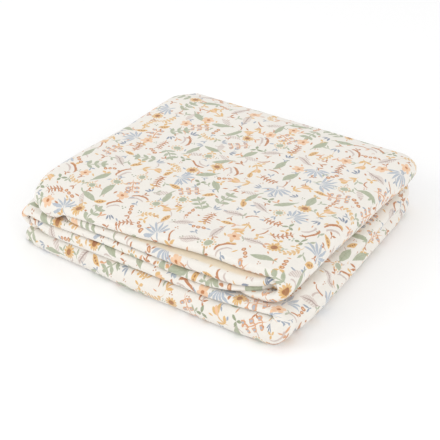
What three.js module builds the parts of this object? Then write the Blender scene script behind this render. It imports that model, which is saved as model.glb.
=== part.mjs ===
// Folded fleece crib blanket: one rectangle of cloth folded twice, as one closed solid.
// Millimetres. X runs along the long side, Y from the front to the back, Z up from the surface
// that the blanket lies on. The origin is under the middle of the blanket.
//
// The cloth is folded back and forth across its width into a strip of four layers, the last one
// a short flap. The strip is folded back and forth along its length into four runs, which lie on
// each other: the top run, the second, the third and the bottom run.
// Two lips of the strip show along the front. The outer lip joins layers 1 and 2, and the inner
// lip joins layers 3 and 4.
import * as THREE from "three";

// Outside sizes of the folded blanket
const LONG = 348;
const DEEP = 324;
const FRONT_HEIGHT = 77;
const BACK_HEIGHT = 70;

// The cloth
const SHEET = 2.6; // thickness
const CLEAR = 0.5; // from a sheet to the middle of the gap between two runs
const LIP_PITCH = 4; // between two sheets where they are drawn together at a lip
const NECK = 22; // over which a lip's sheets draw in to the strip's even spacing
const FLAP_REACH = 128; // from the front to the edge of the short fourth layer
const FLAP_STEP = 30; // over which layer 3 comes down past that edge
const EDGE = SHEET / 2 + CLEAR; // from the middle of a run's outer sheet to the run's boundary

// Heights at the front of the creases between the runs, and of the crease between the two lips
// of the top run, from left to right
const FRONT_CREASES = [
  { x: -177, bottomThird: 24, thirdSecond: 37, secondTop: 49, topLips: 55 },
  { x: -125, bottomThird: 22, thirdSecond: 37, secondTop: 48, topLips: 55 },
  { x: -85, bottomThird: 22, thirdSecond: 39, secondTop: 48, topLips: 58 },
  { x: -40, bottomThird: 24, thirdSecond: 40, secondTop: 50, topLips: 62 },
  { x: 0, bottomThird: 27, thirdSecond: 42, secondTop: 52, topLips: 64 },
  { x: 45, bottomThird: 28, thirdSecond: 43, secondTop: 51, topLips: 65 },
  { x: 90, bottomThird: 29, thirdSecond: 42, secondTop: 51, topLips: 65 },
  { x: 120, bottomThird: 33, thirdSecond: 42, secondTop: 52, topLips: 63 },
  { x: 150, bottomThird: 37, thirdSecond: 43, secondTop: 52, topLips: 62 },
];

// How far in from the front plane each lip of a run stands, from left to right
const FRONT_LIPS = {
  top: [
    { x: -160, outer: 25, inner: 37 },
    { x: -152, outer: 19, inner: 36 },
    { x: -140, outer: 14, inner: 34 },
    { x: -122, outer: 11, inner: 26 },
    { x: -95, outer: 9, inner: 12 },
    { x: -70, outer: 9, inner: 8 },
    { x: -30, outer: 10, inner: 7 },
    { x: 20, outer: 15, inner: 7 },
    { x: 70, outer: 18, inner: 8 },
    { x: 105, outer: 20, inner: 14 },
    { x: 125, outer: 26, inner: 24 },
  ],
  second: [
    { x: -156, outer: 28, inner: 8 },
    { x: -140, outer: 30, inner: 6 },
    { x: -120, outer: 30, inner: 5 },
    { x: -40, outer: 29, inner: 4 },
    { x: 40, outer: 28, inner: 4 },
    { x: 80, outer: 27, inner: 7 },
    { x: 105, outer: 26, inner: 15 },
    { x: 125, outer: 26, inner: 24 },
  ],
  third: [
    { x: -156, outer: 10, inner: 32 },
    { x: -140, outer: 6, inner: 32 },
    { x: -115, outer: 4, inner: 30 },
    { x: -60, outer: 3, inner: 28 },
    { x: 30, outer: 4, inner: 28 },
    { x: 85, outer: 7, inner: 34 },
    { x: 110, outer: 12, inner: 46 },
    { x: 128, outer: 20, inner: 54 },
    { x: 150, outer: 30, inner: 60 },
  ],
  bottom: [
    { x: -176, outer: 15, inner: 40 },
    { x: -166, outer: 9, inner: 39 },
    { x: -156, outer: 5, inner: 37 },
    { x: -138, outer: 2, inner: 34 },
    { x: -115, outer: 0, inner: 30 },
    { x: -70, outer: 0, inner: 28 },
    { x: 60, outer: 0, inner: 30 },
    { x: 110, outer: 0, inner: 44 },
    { x: 150, outer: 3, inner: 56 },
  ],
};

// How far in from the back plane the hem of layer 1 and the fold of layers 2 and 3 end, and how
// far the hem droops over that fold
const FOLD_REACH = 3.5; // of the fold that joins layers 2 and 3
const BACK_EDGES = {
  top: { hem: 2, fold: 11, droop: 0.6 },
  second: { hem: 5, fold: 3, droop: 0 },
  third: { hem: 7, fold: 4, droop: 0 },
  bottom: { hem: 3, fold: 6, droop: 0 },
};

// Where the centres of the turns lie, from the front to the back, and each turn's reach in X
const TURN_CENTRES = {
  upperRight: [
    { inward: 24, x: 122 },
    { inward: 40, x: 127 },
    { inward: 62, x: 133 },
    { inward: 95, x: 137 },
    { inward: 230, x: 139 },
    { inward: 290, x: 143 },
    { inward: 312, x: 141 },
    { inward: 324, x: 133 },
  ],
  lowerRight: [
    { inward: 0, x: 144 },
    { inward: 14, x: 149 },
    { inward: 60, x: 151 },
    { inward: 90, x: 154 },
    { inward: 230, x: 153 },
    { inward: 295, x: 149 },
    { inward: 324, x: 136 },
  ],
  left: [
    { inward: 3, x: -151 },
    { inward: 26, x: -157 },
    { inward: 70, x: -158 },
    { inward: 290, x: -157 },
    { inward: 324, x: -142 },
  ],
  topEnd: [
    { inward: 14, x: -138 },
    { inward: 34, x: -147 },
    { inward: 65, x: -154 },
    { inward: 285, x: -155 },
    { inward: 324, x: -138 },
  ],
  bottomEnd: [
    { inward: 0, x: -154 },
    { inward: 34, x: -161 },
    { inward: 290, x: -160 },
    { inward: 324, x: -146 },
  ],
};
const TURN_REACH = { upperRight: 23, lowerRight: 18, left: 18, topEnd: 19, bottomEnd: 17 };
const HOLLOW = 4; // reach of the innermost sheet in a turn
const HOLLOW_RISE = 1.2; // by which the innermost sheet opens up in a turn
const END_SPREAD = 3; // reach of the innermost sheet at the ends of the strip

// The soft crease on the right of the lower turn, from the back down to the front corner
const SIDE_CREASE = [
  { inward: 324, height: 6 },
  { inward: 250, height: 7 },
  { inward: 190, height: 11 },
  { inward: 125, height: 17 },
  { inward: 90, height: 25 },
  { inward: 62, height: 30 },
  { inward: 46, height: 31 },
  { inward: 35, height: 26 },
  { inward: 31, height: 14 },
  { inward: 30, height: 0 },
];
const SIDE_CREASE_DEPTH = 3.5;
const SIDE_CREASE_WIDTH = 8;

// Low waves of the top face, as length along X and Y and as height
const TOP_WAVES = [
  { long: 230, deep: 410, start: 0.6, height: 1.1 },
  { long: 140, deep: -260, start: 2.1, height: 0.7 },
];

const mix = (from, to, share) => from + (to - from) * share;
const clamp = (value) => Math.min(1, Math.max(0, value));
const ease = (value) => {
  const share = clamp(value);
  return share * share * (3 - 2 * share);
};

// Value of a table's column at a place on its first column, eased from row to row.
function along(table, key, place, column) {
  const last = table.length - 1;
  if (place <= table[0][key]) {
    return table[0][column];
  }
  if (place >= table[last][key]) {
    return table[last][column];
  }
  const next = table.findIndex((row) => row[key] > place);
  const low = table[next - 1];
  const high = table[next];
  const share = (place - low[key]) / (high[key] - low[key]);
  return mix(low[column], high[column], ease(share));
}

const centre = (turn, inward) => along(TURN_CENTRES[turn], "inward", inward, "x");

// Height of the boundary under a run, or of the top face. Creases at the front ease into runs of
// equal height inside, and the whole stack is lower at the back, where the flap doesn't reach.
function boundary(level, x, inward) {
  const stack = mix(FRONT_HEIGHT, BACK_HEIGHT, ease((inward - FLAP_REACH + 40) / 120));
  const names = [null, "bottomThird", "thirdSecond", "secondTop", null];
  if (level === 0) {
    return -CLEAR;
  }
  if (level === 4) {
    const fromFront = 4 * (1 - ease(inward / 55));
    const fromBack = 5 * ease((inward - DEEP + 40) / 40);
    return stack + CLEAR - fromFront - fromBack + topWave(x, inward);
  }
  const front = along(FRONT_CREASES, "x", x, names[level]);
  return mix(front, (stack * level) / 4, ease((inward - 6) / 40));
}

function topWave(x, inward) {
  const inside = ease((LONG / 2 - Math.abs(x)) / 60) * ease(inward / 60);
  const height = TOP_WAVES.reduce((sum, wave) => {
    const phase = 2 * Math.PI * (x / wave.long + inward / wave.deep) + wave.start;
    return sum + wave.height * Math.sin(phase);
  }, 0);
  return height * inside;
}

// Depth of the side crease at a height on the lower right turn.
function sideCrease(height, inward) {
  let nearest = Infinity;
  for (let i = 1; i < SIDE_CREASE.length; i++) {
    const from = SIDE_CREASE[i - 1];
    const to = SIDE_CREASE[i];
    const run = to.inward - from.inward;
    const rise = to.height - from.height;
    const share = clamp(
      ((inward - from.inward) * run + (height - from.height) * rise) / (run * run + rise * rise),
    );
    const away = Math.hypot(
      inward - from.inward - share * run,
      height - from.height - share * rise,
    );
    nearest = Math.min(nearest, away);
  }
  return SIDE_CREASE_DEPTH * Math.exp(-((nearest / SIDE_CREASE_WIDTH) ** 2));
}

// What a station knows of the strip's edges: its two front lips, where the section divides
// between them, and its back edges. In a turn they go from one run's to the next.
function edges(run, next = run, share = 0) {
  const divide = (name, x) => {
    if (name !== "top") {
      return 0.5;
    }
    const low = along(FRONT_CREASES, "x", x, "secondTop");
    const lips = along(FRONT_CREASES, "x", x, "topLips");
    return (lips - low) / (FRONT_HEIGHT - low);
  };
  const back = {};
  for (const name of Object.keys(BACK_EDGES[run])) {
    back[name] = mix(BACK_EDGES[run][name], BACK_EDGES[next][name], share);
  }
  return {
    lips: (x, name) =>
      mix(
        along(FRONT_LIPS[run], "x", x, name),
        along(FRONT_LIPS[next], "x", x, name),
        share,
      ),
    divide: (x) => mix(divide(run, x), divide(next, x), share),
    back,
  };
}

// A station is a place along the strip. Its place function turns a place in the strip's section,
// inward from the front and level from 0 at layer 4 to 1 at layer 1, into X and Z. Its x is where
// it looks up its lips.
function runStation(run, share) {
  const runs = {
    top: { from: "topEnd", to: "upperRight", low: 3, flipped: false },
    second: { from: "upperRight", to: "left", low: 2, flipped: true },
    third: { from: "left", to: "lowerRight", low: 1, flipped: false },
    bottom: { from: "lowerRight", to: "bottomEnd", low: 0, flipped: true },
  };
  const { from, to, low, flipped } = runs[run];
  return {
    ...edges(run),
    place: (inward, level) => {
      const x = mix(centre(from, inward), centre(to, inward), share);
      const floor = boundary(low, x, inward) + EDGE;
      const roof = boundary(low + 1, x, inward) - EDGE;
      return [x, flipped ? mix(roof, floor, level) : mix(floor, roof, level)];
    },
    x: mix(centre(from, 20), centre(to, 20), share),
  };
}

// A half turn between two runs, about the boundary between them. The share goes from 0 at the
// upper run to 1 at the lower one, and side is 1 on the right and -1 on the left.
function turnStation(turn, upper, lower, low, side, share) {
  const angle = Math.PI * (0.5 - share);
  const insideOut = side < 0;
  return {
    ...edges(upper, lower, ease(share)),
    place: (inward, level) => {
      const x = centre(turn, inward);
      const middle = boundary(low, x, inward);
      const room = share < 0.5
        ? boundary(low + 1, x, inward) - middle
        : middle - boundary(low - 1, x, inward);
      const outward = insideOut ? 1 - level : level;
      const reach = TURN_REACH[turn];
      const opening = HOLLOW_RISE * (1 - outward) * Math.sin(2 * angle);
      const rise = mix(EDGE, room - EDGE, outward) * Math.sin(angle) + opening;
      const crease = turn === "lowerRight" ? sideCrease(middle + rise, inward) : 0;
      const shrink = 1 - crease / reach;
      const spread = mix(HOLLOW, reach - EDGE, outward) * Math.cos(angle);
      return [x + side * spread * shrink, middle + rise];
    },
    x: centre(turn, 20) + side * 10,
  };
}

// The drooping end of the strip: its sheets curve down outside each other.
function endStation(turn, run, low, flipped, share) {
  const angle = (Math.PI / 2) * (1 - share);
  return {
    ...edges(run),
    place: (inward, level) => {
      const x = centre(turn, inward);
      const floor = boundary(low, x, inward) + EDGE;
      const roof = boundary(low + 1, x, inward) - EDGE;
      const outward = flipped ? 1 - level : level;
      const spread = mix(END_SPREAD, TURN_REACH[turn] - EDGE, outward) * Math.cos(angle);
      return [x - spread, mix(floor, roof, outward * Math.sin(angle))];
    },
    x: centre(turn, 20) - TURN_REACH[turn] * Math.cos(angle),
  };
}

// Steps along the strip, closer together where the lips bend in at the front corner
const RUN_STEPS = [0.15, 0.34, 0.52, 0.68, 0.81, 0.92];
const TURN_STEPS = 8;
const END_STEPS = 3;

function strip() {
  const leftToRight = RUN_STEPS;
  const rightToLeft = RUN_STEPS.map((share) => 1 - share).reverse();
  const turnShares = Array.from({ length: TURN_STEPS + 1 }, (_, i) => i / TURN_STEPS);
  const endShares = Array.from({ length: END_STEPS + 1 }, (_, i) => i / END_STEPS);
  return [
    ...endShares.toReversed().map((s) => endStation("topEnd", "top", 3, false, s)),
    ...leftToRight.map((s) => runStation("top", s)),
    ...turnShares.map((s) => turnStation("upperRight", "top", "second", 3, 1, s)),
    ...rightToLeft.map((s) => runStation("second", s)),
    ...turnShares.map((s) => turnStation("left", "second", "third", 2, -1, s)),
    ...leftToRight.map((s) => runStation("third", s)),
    ...turnShares.map((s) => turnStation("lowerRight", "third", "bottom", 1, 1, s)),
    ...rightToLeft.map((s) => runStation("bottom", s)),
    ...endShares.map((s) => endStation("bottomEnd", "bottom", 0, true, s)),
  ];
}

// Steps of the section along each layer and round each loop
const HEM_STEPS = [0, 6]; // back from the hem of layer 1
const OUTER_PLACES = [296, 235, 161, 90, 55]; // along layer 1, from the front
const INNER_PLACES = [38, 55, 90, 131, 161, 296]; // along layers 2 and 3
const NECK_SHARES = [0.25, 0.6, 1];
const FLAP_PLACES = [36, 60, 95, FLAP_REACH];
const LIP_STEPS = 5;
const LIP_FULLNESS = 0.75; // 1 is an ellipse, and less is squarer
const FOLD_STEPS = 4;

// Points round a loop of the section, from its upper sheet to its lower one.
function loop(tip, reach, high, low, steps, side) {
  return Array.from({ length: steps + 1 }, (_, i) => {
    const angle = Math.PI * (0.5 - i / steps);
    const round = Math.max(0, Math.cos(angle)) ** LIP_FULLNESS;
    return {
      inward: tip + side * reach * (1 - round),
      level: mix((high + low) / 2, high, Math.sin(angle)),
    };
  });
}

// Where a lip's inner sheet draws in to its even place: over the neck, or before the neighbour
// that the lip has swollen over.
function neck(start, neighbour, swell) {
  const length = mix(NECK, Math.min(NECK, Math.max(5, neighbour - start)), swell);
  const from = Math.max(start, mix(start, neighbour - length, swell));
  return { from, to: from + length, share: (inward) => ease((inward - from) / length) };
}

// The strip's section at a station: the middle of its sheet from the hem at the back of layer 1
// to the hem of the flap.
function section(station) {
  const outer = station.lips(station.x, "outer");
  const inner = station.lips(station.x, "inner");
  const room = (inward) => {
    const [topX, topZ] = station.place(inward, 1);
    const [lowX, lowZ] = station.place(inward, 0);
    return Math.hypot(topX - lowX, topZ - lowZ);
  };
  const half = Math.min(1 / 6, LIP_PITCH / 2 / room(Math.max(outer, inner)));
  const divide = Math.min(1 - 3 * half, Math.max(3 * half, station.divide(station.x)));
  // A lip that stands well in front of its neighbour swells over the neighbour's height.
  const outerSwell = clamp((inner - outer - 8) / 12);
  const innerSwell = clamp((outer - inner - 8) / 12);
  const outerLow = mix(divide + half, 0, outerSwell);
  const innerHigh = mix(divide - half, 1, innerSwell);
  const lipReach = (height) => Math.min(10, Math.max(2.5, 0.42 * height));
  const outerReach = lipReach((1 - outerLow) * room(outer));
  const innerReach = lipReach(innerHigh * room(inner));
  const outerStart = outer + SHEET / 2 + outerReach;
  const innerStart = inner + SHEET / 2 + innerReach;
  const outerNeck = neck(outerStart, inner - 3, outerSwell);
  const innerNeck = neck(innerStart, outer - 3, innerSwell);
  const inside = (inward) => ease((inward - FLAP_REACH - 3) / FLAP_STEP);
  const second = (inward) =>
    mix(outerLow, mix(2 / 3, 1 / 2, inside(inward)), outerNeck.share(inward));
  const third = (inward) =>
    mix(innerHigh, mix(1 / 3, 0, inside(inward)), innerNeck.share(inward));
  const back = station.back;
  const hem = DEEP - back.hem;
  const fold = DEEP - back.fold;
  const foldStart = fold - SHEET / 2 - FOLD_REACH;
  const layer = (places, level) => places.map((inward) => ({ inward, level: level(inward) }));
  const inLayer = ({ from, to }) => [
    ...NECK_SHARES.map((share) => mix(from, to, share)),
    ...INNER_PLACES.map((place, i) => Math.max(place, to + 5 * (i + 1))),
  ];
  const drooping = (inward) => 1 - back.droop * ease((inward - hem + 9) / 9) ** 2;
  return [
    ...layer([...HEM_STEPS.map((step) => hem - step), ...OUTER_PLACES], drooping),
    ...layer([outerStart + 12, outerStart + 4], drooping),
    ...loop(outer + SHEET / 2, outerReach, 1, outerLow, LIP_STEPS, 1),
    ...layer(inLayer(outerNeck), second),
    ...loop(fold - SHEET / 2, FOLD_REACH, 0.5, 0, FOLD_STEPS, -1),
    ...layer(inLayer(innerNeck).reverse(), third),
    ...loop(inner + SHEET / 2, innerReach, innerHigh, 0, LIP_STEPS, 1),
    ...layer(FLAP_PLACES.map((place, i) => Math.max(place, innerStart + 5 * (i + 1))), () => 0),
  ];
}

// The middle of the sheet as rows of points, one row for each station.
function middleSheet() {
  return strip().map((station) =>
    section(station).map(({ inward, level }) => {
      const [x, z] = station.place(inward, level);
      return new THREE.Vector3(x, inward - DEEP / 2, z);
    }),
  );
}

// Direction out of the sheet at each of its points.
function facings(rows) {
  const at = (list, i) => list[Math.min(list.length - 1, Math.max(0, i))];
  return rows.map((row, i) =>
    row.map((_, j) => {
      const lengthwise = at(rows, i + 1)[j].clone().sub(at(rows, i - 1)[j]);
      const across = at(row, j + 1).clone().sub(at(row, j - 1));
      return lengthwise.cross(across).normalize();
    }),
  );
}

// The sheet with its thickness, closed all round its hem.
function cloth() {
  const rows = middleSheet();
  const out = facings(rows);
  const across = rows[0].length;
  const faces = [1, -1].map((side) =>
    rows.map((row, i) =>
      row.map((point, j) => point.clone().addScaledVector(out[i][j], (side * SHEET) / 2)),
    ),
  );
  const positions = faces.flat(2).flatMap((point) => point.toArray());
  const corner = (face, i, j) => (face * rows.length + i) * across + j;
  const index = [];
  const patch = (a, b, c, d) => index.push(a, b, c, a, c, d);
  for (let i = 0; i + 1 < rows.length; i++) {
    for (let j = 0; j + 1 < across; j++) {
      patch(corner(0, i, j), corner(0, i + 1, j), corner(0, i + 1, j + 1), corner(0, i, j + 1));
      patch(corner(1, i, j), corner(1, i, j + 1), corner(1, i + 1, j + 1), corner(1, i + 1, j));
    }
    const end = across - 1;
    patch(corner(0, i, 0), corner(1, i, 0), corner(1, i + 1, 0), corner(0, i + 1, 0));
    patch(corner(0, i + 1, end), corner(1, i + 1, end), corner(1, i, end), corner(0, i, end));
  }
  const last = rows.length - 1;
  for (let j = 0; j + 1 < across; j++) {
    patch(corner(0, 0, j), corner(0, 0, j + 1), corner(1, 0, j + 1), corner(1, 0, j));
    patch(corner(1, last, j), corner(1, last, j + 1), corner(0, last, j + 1), corner(0, last, j));
  }
  const geometry = new THREE.BufferGeometry();
  geometry.setAttribute("position", new THREE.Float32BufferAttribute(positions, 3));
  geometry.setIndex(index);
  geometry.computeVertexNormals();
  geometry.computeBoundingBox();
  const middle = geometry.boundingBox.getCenter(new THREE.Vector3());
  return geometry.translate(-middle.x, -middle.y, 0);
}

const fleece = new THREE.MeshStandardMaterial({ color: 0xf4f0ea, roughness: 0.95, metalness: 0 });
const blanket = new THREE.Mesh(cloth(), fleece);
blanket.name = "blanket_cloth";

const group = new THREE.Group();
group.add(blanket);
export default group;
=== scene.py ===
"""A folded fleece crib blanket: one cloth folded twice, with a scattered leaf print.

The cloth is folded back and forth across its width into a strip of four layers, the last one a
short flap. The strip is folded back and forth along its length into four runs that lie on each
other. The lips that join the layers show along the front, and the turns that join the runs show
at the two ends.
"""

import logging
import math
from collections.abc import Callable, Sequence
from dataclasses import dataclass, field
from enum import Enum

import bmesh
import bpy
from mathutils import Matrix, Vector, noise


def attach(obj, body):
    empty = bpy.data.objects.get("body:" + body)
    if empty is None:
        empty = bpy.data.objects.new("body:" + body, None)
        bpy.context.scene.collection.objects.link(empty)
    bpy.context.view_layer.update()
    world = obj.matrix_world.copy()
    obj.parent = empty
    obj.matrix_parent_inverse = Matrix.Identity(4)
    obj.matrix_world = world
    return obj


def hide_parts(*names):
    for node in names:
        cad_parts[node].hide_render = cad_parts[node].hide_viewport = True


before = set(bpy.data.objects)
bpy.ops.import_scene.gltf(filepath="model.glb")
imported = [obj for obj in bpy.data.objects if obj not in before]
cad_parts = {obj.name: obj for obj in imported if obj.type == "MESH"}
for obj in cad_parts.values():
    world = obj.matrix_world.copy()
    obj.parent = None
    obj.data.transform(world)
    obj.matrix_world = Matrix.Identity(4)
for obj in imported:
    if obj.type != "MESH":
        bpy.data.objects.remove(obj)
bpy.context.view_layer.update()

MM = 0.001
FLAT_MAP = "flat_cloth"
BAKE_MAP = "OFBake"
THICKNESS_GROUP = "thickness"
# the share of painted warm shade on the cloth in the top run's trough between its lips
TROUGH_SHADE_SHARE = "trough_shade"
PIECE = "blanket_fleece"

log = logging.getLogger("crib_blanket")


def mix(start: float, end: float, share: float) -> float:
    """The value a share of the way from start to end."""
    return start + (end - start) * share


def clamp(value: float, low: float = 0.0, high: float = 1.0) -> float:
    """The value held between low and high."""
    return min(high, max(low, value))


def ease(value: float) -> float:
    """A smooth step from 0 to 1 as the value goes from 0 to 1."""
    share = clamp(value)
    return share * share * (3 - 2 * share)


@dataclass
class Track:
    """A size that changes along a line, smoothly and without overshoot.

    Args:
        rows: places on the line, each with the size there.
    """

    rows: Sequence[tuple[float, float]]
    slopes: list[float] = field(init=False, default_factory=list)

    def __post_init__(self) -> None:
        """Works out a slope at each row that keeps the curve between its neighbours."""
        steps = [
            (b[1] - a[1]) / (b[0] - a[0]) for a, b in zip(self.rows, self.rows[1:])
        ]
        self.slopes = [0.0] * len(self.rows)
        for i, (before, after) in enumerate(zip(steps, steps[1:]), start=1):
            if before * after > 0:
                self.slopes[i] = 2 * before * after / (before + after)

    def at(self, place: float) -> float:
        """The size at a place, which is the nearest row's beyond the ends.

        Args:
            place: the place on the line.

        Returns:
            The size there.
        """
        if place <= self.rows[0][0]:
            return self.rows[0][1]
        for i, (low, high) in enumerate(zip(self.rows, self.rows[1:])):
            if place < high[0]:
                width = high[0] - low[0]
                t = (place - low[0]) / width
                return (
                    low[1] * (1 + 2 * t) * (1 - t) ** 2
                    + self.slopes[i] * width * t * (1 - t) ** 2
                    + high[1] * t * t * (3 - 2 * t)
                    + self.slopes[i + 1] * width * t * t * (t - 1)
                )
        return self.rows[-1][1]


class Run(Enum):
    """A run of the strip, by the number of the boundary under it."""

    TOP = 3
    SECOND = 2
    THIRD = 1
    BOTTOM = 0


class Turn(Enum):
    """A place where the strip turns or ends."""

    UPPER_RIGHT = "upper right"
    LOWER_RIGHT = "lower right"
    LEFT = "left"
    TOP_END = "top end"
    BOTTOM_END = "bottom end"


@dataclass
class Lips:
    """How far in from the front plane a run's two lips stand, in millimetres, by x."""

    outer: Track
    inner: Track


@dataclass
class BackEdges:
    """How far in from the back plane a run's hem and its back fold end, in millimetres."""

    hem: float
    fold: float
    droop: float = 0.0


CREASE_END = 1.15  # a soft crease fades out over its ends, and 1 would fade it from its middle


@dataclass
class SoftCrease:
    """A shallow valley, or a ridge where the depth is negative, on the top face.

    Args:
        start: x and y of one end, in millimetres.
        end: x and y of the other end.
        depth: how deep it is in its middle.
        width: how far it reaches to either side.
    """

    start: tuple[float, float]
    end: tuple[float, float]
    depth: float
    width: float

    def drop(self, x: float, y: float) -> float:
        """How much lower the cloth lies at a place.

        Args:
            x, y: the place, in millimetres.

        Returns:
            The drop in millimetres, which is less than 0 on a ridge.
        """
        run = Vector(self.end) - Vector(self.start)
        there = Vector((x, y)) - Vector(self.start)
        share = there.dot(run) / run.length_squared
        away = (there - run * clamp(share)).length
        fade = ease(CREASE_END - abs(2 * share - 1)) if 0 < share < 1 else 0.0
        return self.depth * fade * math.exp(-((away / self.width) ** 2))


@dataclass(frozen=True)
class Ripple:
    """A soft irregular wave in the cloth.

    Args:
        height: how far it moves the cloth, in millimetres.
        spans: its lengths in the two directions it runs in.
        seed: a number that sets it apart from the other ripples.
    """

    height: float
    spans: tuple[float, float]
    seed: float

    def at(self, first: float, second: float) -> float:
        """How far the cloth is moved at a place, given in the ripple's two directions."""
        place = Vector((first / self.spans[0], second / self.spans[1], self.seed))
        return self.height * noise.noise(place)


@dataclass
class Bundle:
    """The shape of the folded bundle, in millimetres, measured from its front lips and turns.

    Inward is the distance from the front plane. A level runs from 0 at layer 4 of a run to 1 at
    its layer 1.
    """

    depth: float = 324  # from the front plane to the back plane
    front_height: float = 77
    back_height: float = 70
    thins_from: float = 88  # how far in the stack starts to thin, and over how much
    thins_over: float = 120
    front_drop: float = 4  # how much lower the top face lies at the front, and from how far in
    front_round: float = 55
    back_drop: float = 5  # the same at the back
    back_round: float = 40
    crease_reach: float = 6  # how far in the front creases keep their heights, and then even out
    crease_fade: float = 40
    sheet: float = 3.4  # thickness of the cloth
    clear: float = 0.5  # from a sheet to the middle of the gap between two runs
    lip_pitch: float = 4.4  # between two sheets where they are drawn together at a lip
    neck: float = 22  # over which a lip's sheets draw in to the strip's even spacing
    flap_reach: float = 128  # from the front to the edge of the short fourth layer
    flap_step: float = 30  # over which layer 3 comes down past that edge
    hollow: float = 4  # from a turn's centre to its innermost sheet
    hollow_rise: float = 1.2  # how far that sheet bulges on either side of its bend
    end_spread: float = 3  # from the centre of a drooping end to its innermost sheet
    fold_reach: float = 4  # depth of the back fold's loop
    fullness: float = 0.72  # of a loop: 1 is an ellipse, and less is squarer
    middle: tuple[float, float] = (-3.746, -0.307)  # what is set over the origin

    creases: dict[Run, Track] = field(
        default_factory=lambda: {
            Run.THIRD: Track(
                [
                    (-177, 21), (-140, 24), (-110, 26), (-85, 27), (-40, 28), (0, 29), (45, 29),
                    (90, 30), (112, 33), (130, 35), (155, 36),
                ]
            ),
            Run.SECOND: Track(
                [
                    (-177, 33), (-150, 37), (-125, 40), (-85, 43), (-40, 44), (0, 44), (45, 43),
                    (90, 42), (115, 42), (135, 42.5), (155, 43),
                ]
            ),
            Run.TOP: Track(
                [
                    (-177, 45), (-150, 47), (-125, 50), (-85, 54), (-40, 54), (0, 53), (45, 52),
                    (90, 51), (120, 52), (150, 52),
                ]
            ),
        }
    )
    lip_crease: Track = field(
        default_factory=lambda: Track(
            [
                (-177, 54), (-125, 57), (-85, 62), (-40, 64), (0, 65), (45, 66), (90, 65),
                (120, 63), (150, 62),
            ]
        )
    )
    lips: dict[Run, Lips] = field(
        default_factory=lambda: {
            Run.TOP: Lips(
                outer=Track(
                    [
                        (-160, 18), (-152, 13), (-140, 8), (-122, 4), (-95, 5), (-70, 7),
                        (-30, 10), (20, 16), (70, 21), (105, 22), (125, 24), (138, 26),
                    ]
                ),
                inner=Track(
                    [
                        (-160, 36), (-152, 34), (-140, 32), (-120, 28), (-110, 15), (-102, 9),
                        (-92, 7), (-80, 6), (-30, 6), (20, 6), (70, 8), (112, 13), (126, 19),
                        (138, 26),
                    ]
                ),
            ),
            Run.SECOND: Lips(
                outer=Track(
                    [
                        (-156, 28), (-140, 30), (-120, 30), (-40, 29), (40, 28), (80, 25),
                        (102, 20), (118, 15), (138, 16),
                    ]
                ),
                inner=Track(
                    [
                        (-156, 10), (-140, 7), (-120, 6), (-40, 5), (40, 4), (80, 6), (108, 12),
                        (122, 20), (138, 32),
                    ]
                ),
            ),
            Run.THIRD: Lips(
                outer=Track(
                    [
                        (-156, 11), (-140, 7), (-115, 5), (-60, 3), (30, 4), (75, 5), (110, 5),
                        (135, 6), (155, 8),
                    ]
                ),
                inner=Track(
                    [
                        (-156, 13), (-146, 22), (-136, 30), (-115, 30), (-60, 28), (30, 28),
                        (75, 32), (95, 36), (112, 42), (150, 50),
                    ]
                ),
            ),
            Run.BOTTOM: Lips(
                outer=Track(
                    [
                        (-176, 14), (-166, 11), (-156, 8), (-138, 6), (-115, 5), (-90, 4),
                        (-50, 2), (0, 0), (110, 0), (150, 2),
                    ]
                ),
                inner=Track(
                    [
                        (-176, 40), (-166, 39), (-156, 37), (-138, 34), (-115, 30), (-70, 28),
                        (60, 30), (110, 44), (150, 56),
                    ]
                ),
            ),
        }
    )
    back_edges: dict[Run, BackEdges] = field(
        default_factory=lambda: {
            Run.TOP: BackEdges(hem=2, fold=11, droop=0.6),
            Run.SECOND: BackEdges(hem=5, fold=3),
            Run.THIRD: BackEdges(hem=7, fold=4),
            Run.BOTTOM: BackEdges(hem=3, fold=6),
        }
    )
    centres: dict[Turn, Track] = field(
        default_factory=lambda: {
            Turn.UPPER_RIGHT: Track(
                [
                    (14, 131), (24, 133), (40, 135), (62, 136), (95, 137), (230, 139),
                    (290, 143), (312, 141), (324, 133),
                ]
            ),
            Turn.LOWER_RIGHT: Track(
                [
                    (0, 145), (14, 148.5), (60, 150), (90, 152), (230, 151), (295, 147),
                    (324, 134),
                ]
            ),
            Turn.LEFT: Track([(3, -150), (26, -156), (70, -157), (290, -156), (324, -141)]),
            Turn.TOP_END: Track([(14, -138), (34, -146), (65, -151), (285, -151), (324, -136)]),
            Turn.BOTTOM_END: Track([(0, -156), (34, -161), (290, -160), (324, -146)]),
        }
    )
    reaches: dict[Turn, float] = field(
        default_factory=lambda: {
            Turn.UPPER_RIGHT: 23,
            Turn.LOWER_RIGHT: 20,
            Turn.LEFT: 19,
            Turn.TOP_END: 19,
            Turn.BOTTOM_END: 17,
        }
    )
    side_crease: Sequence[tuple[float, float]] = (
        (324, 17),
        (278, 20),
        (219, 22.5),
        (164, 23.5),
        (118, 25.5),
        (90, 29),
        (66, 32),
        (46, 31.5),
        (35, 26),
        (31, 14),
        (30, 0),
    )
    side_crease_depth: float = 7.5
    side_crease_width: float = 4.2
    top_waves: Sequence[Ripple] = (
        Ripple(1.5, (75, 75), 3.1),
        Ripple(0.6, (31, 31), 7.7),
        Ripple(0.3, (19, 19), 2.4),
    )
    lip_sways: Sequence[Ripple] = (Ripple(1.3, (38, 14), 1.3), Ripple(0.6, (19, 10), 4.2))
    lip_lift: Ripple = Ripple(0.9, (27, 24), 8.8)
    side_sway: Ripple = Ripple(1.2, (42, 15), 5.9)
    lip_zone: float = 30  # depth of the front zone that sways
    side_from: float = 125  # how far out the ends start to sway, and over how much
    side_zone: float = 30
    grip: float = 8  # height below which the floor holds the cloth still
    wave_growth: float = 1.5  # how fast the waves grow from the floor to the top face
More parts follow.
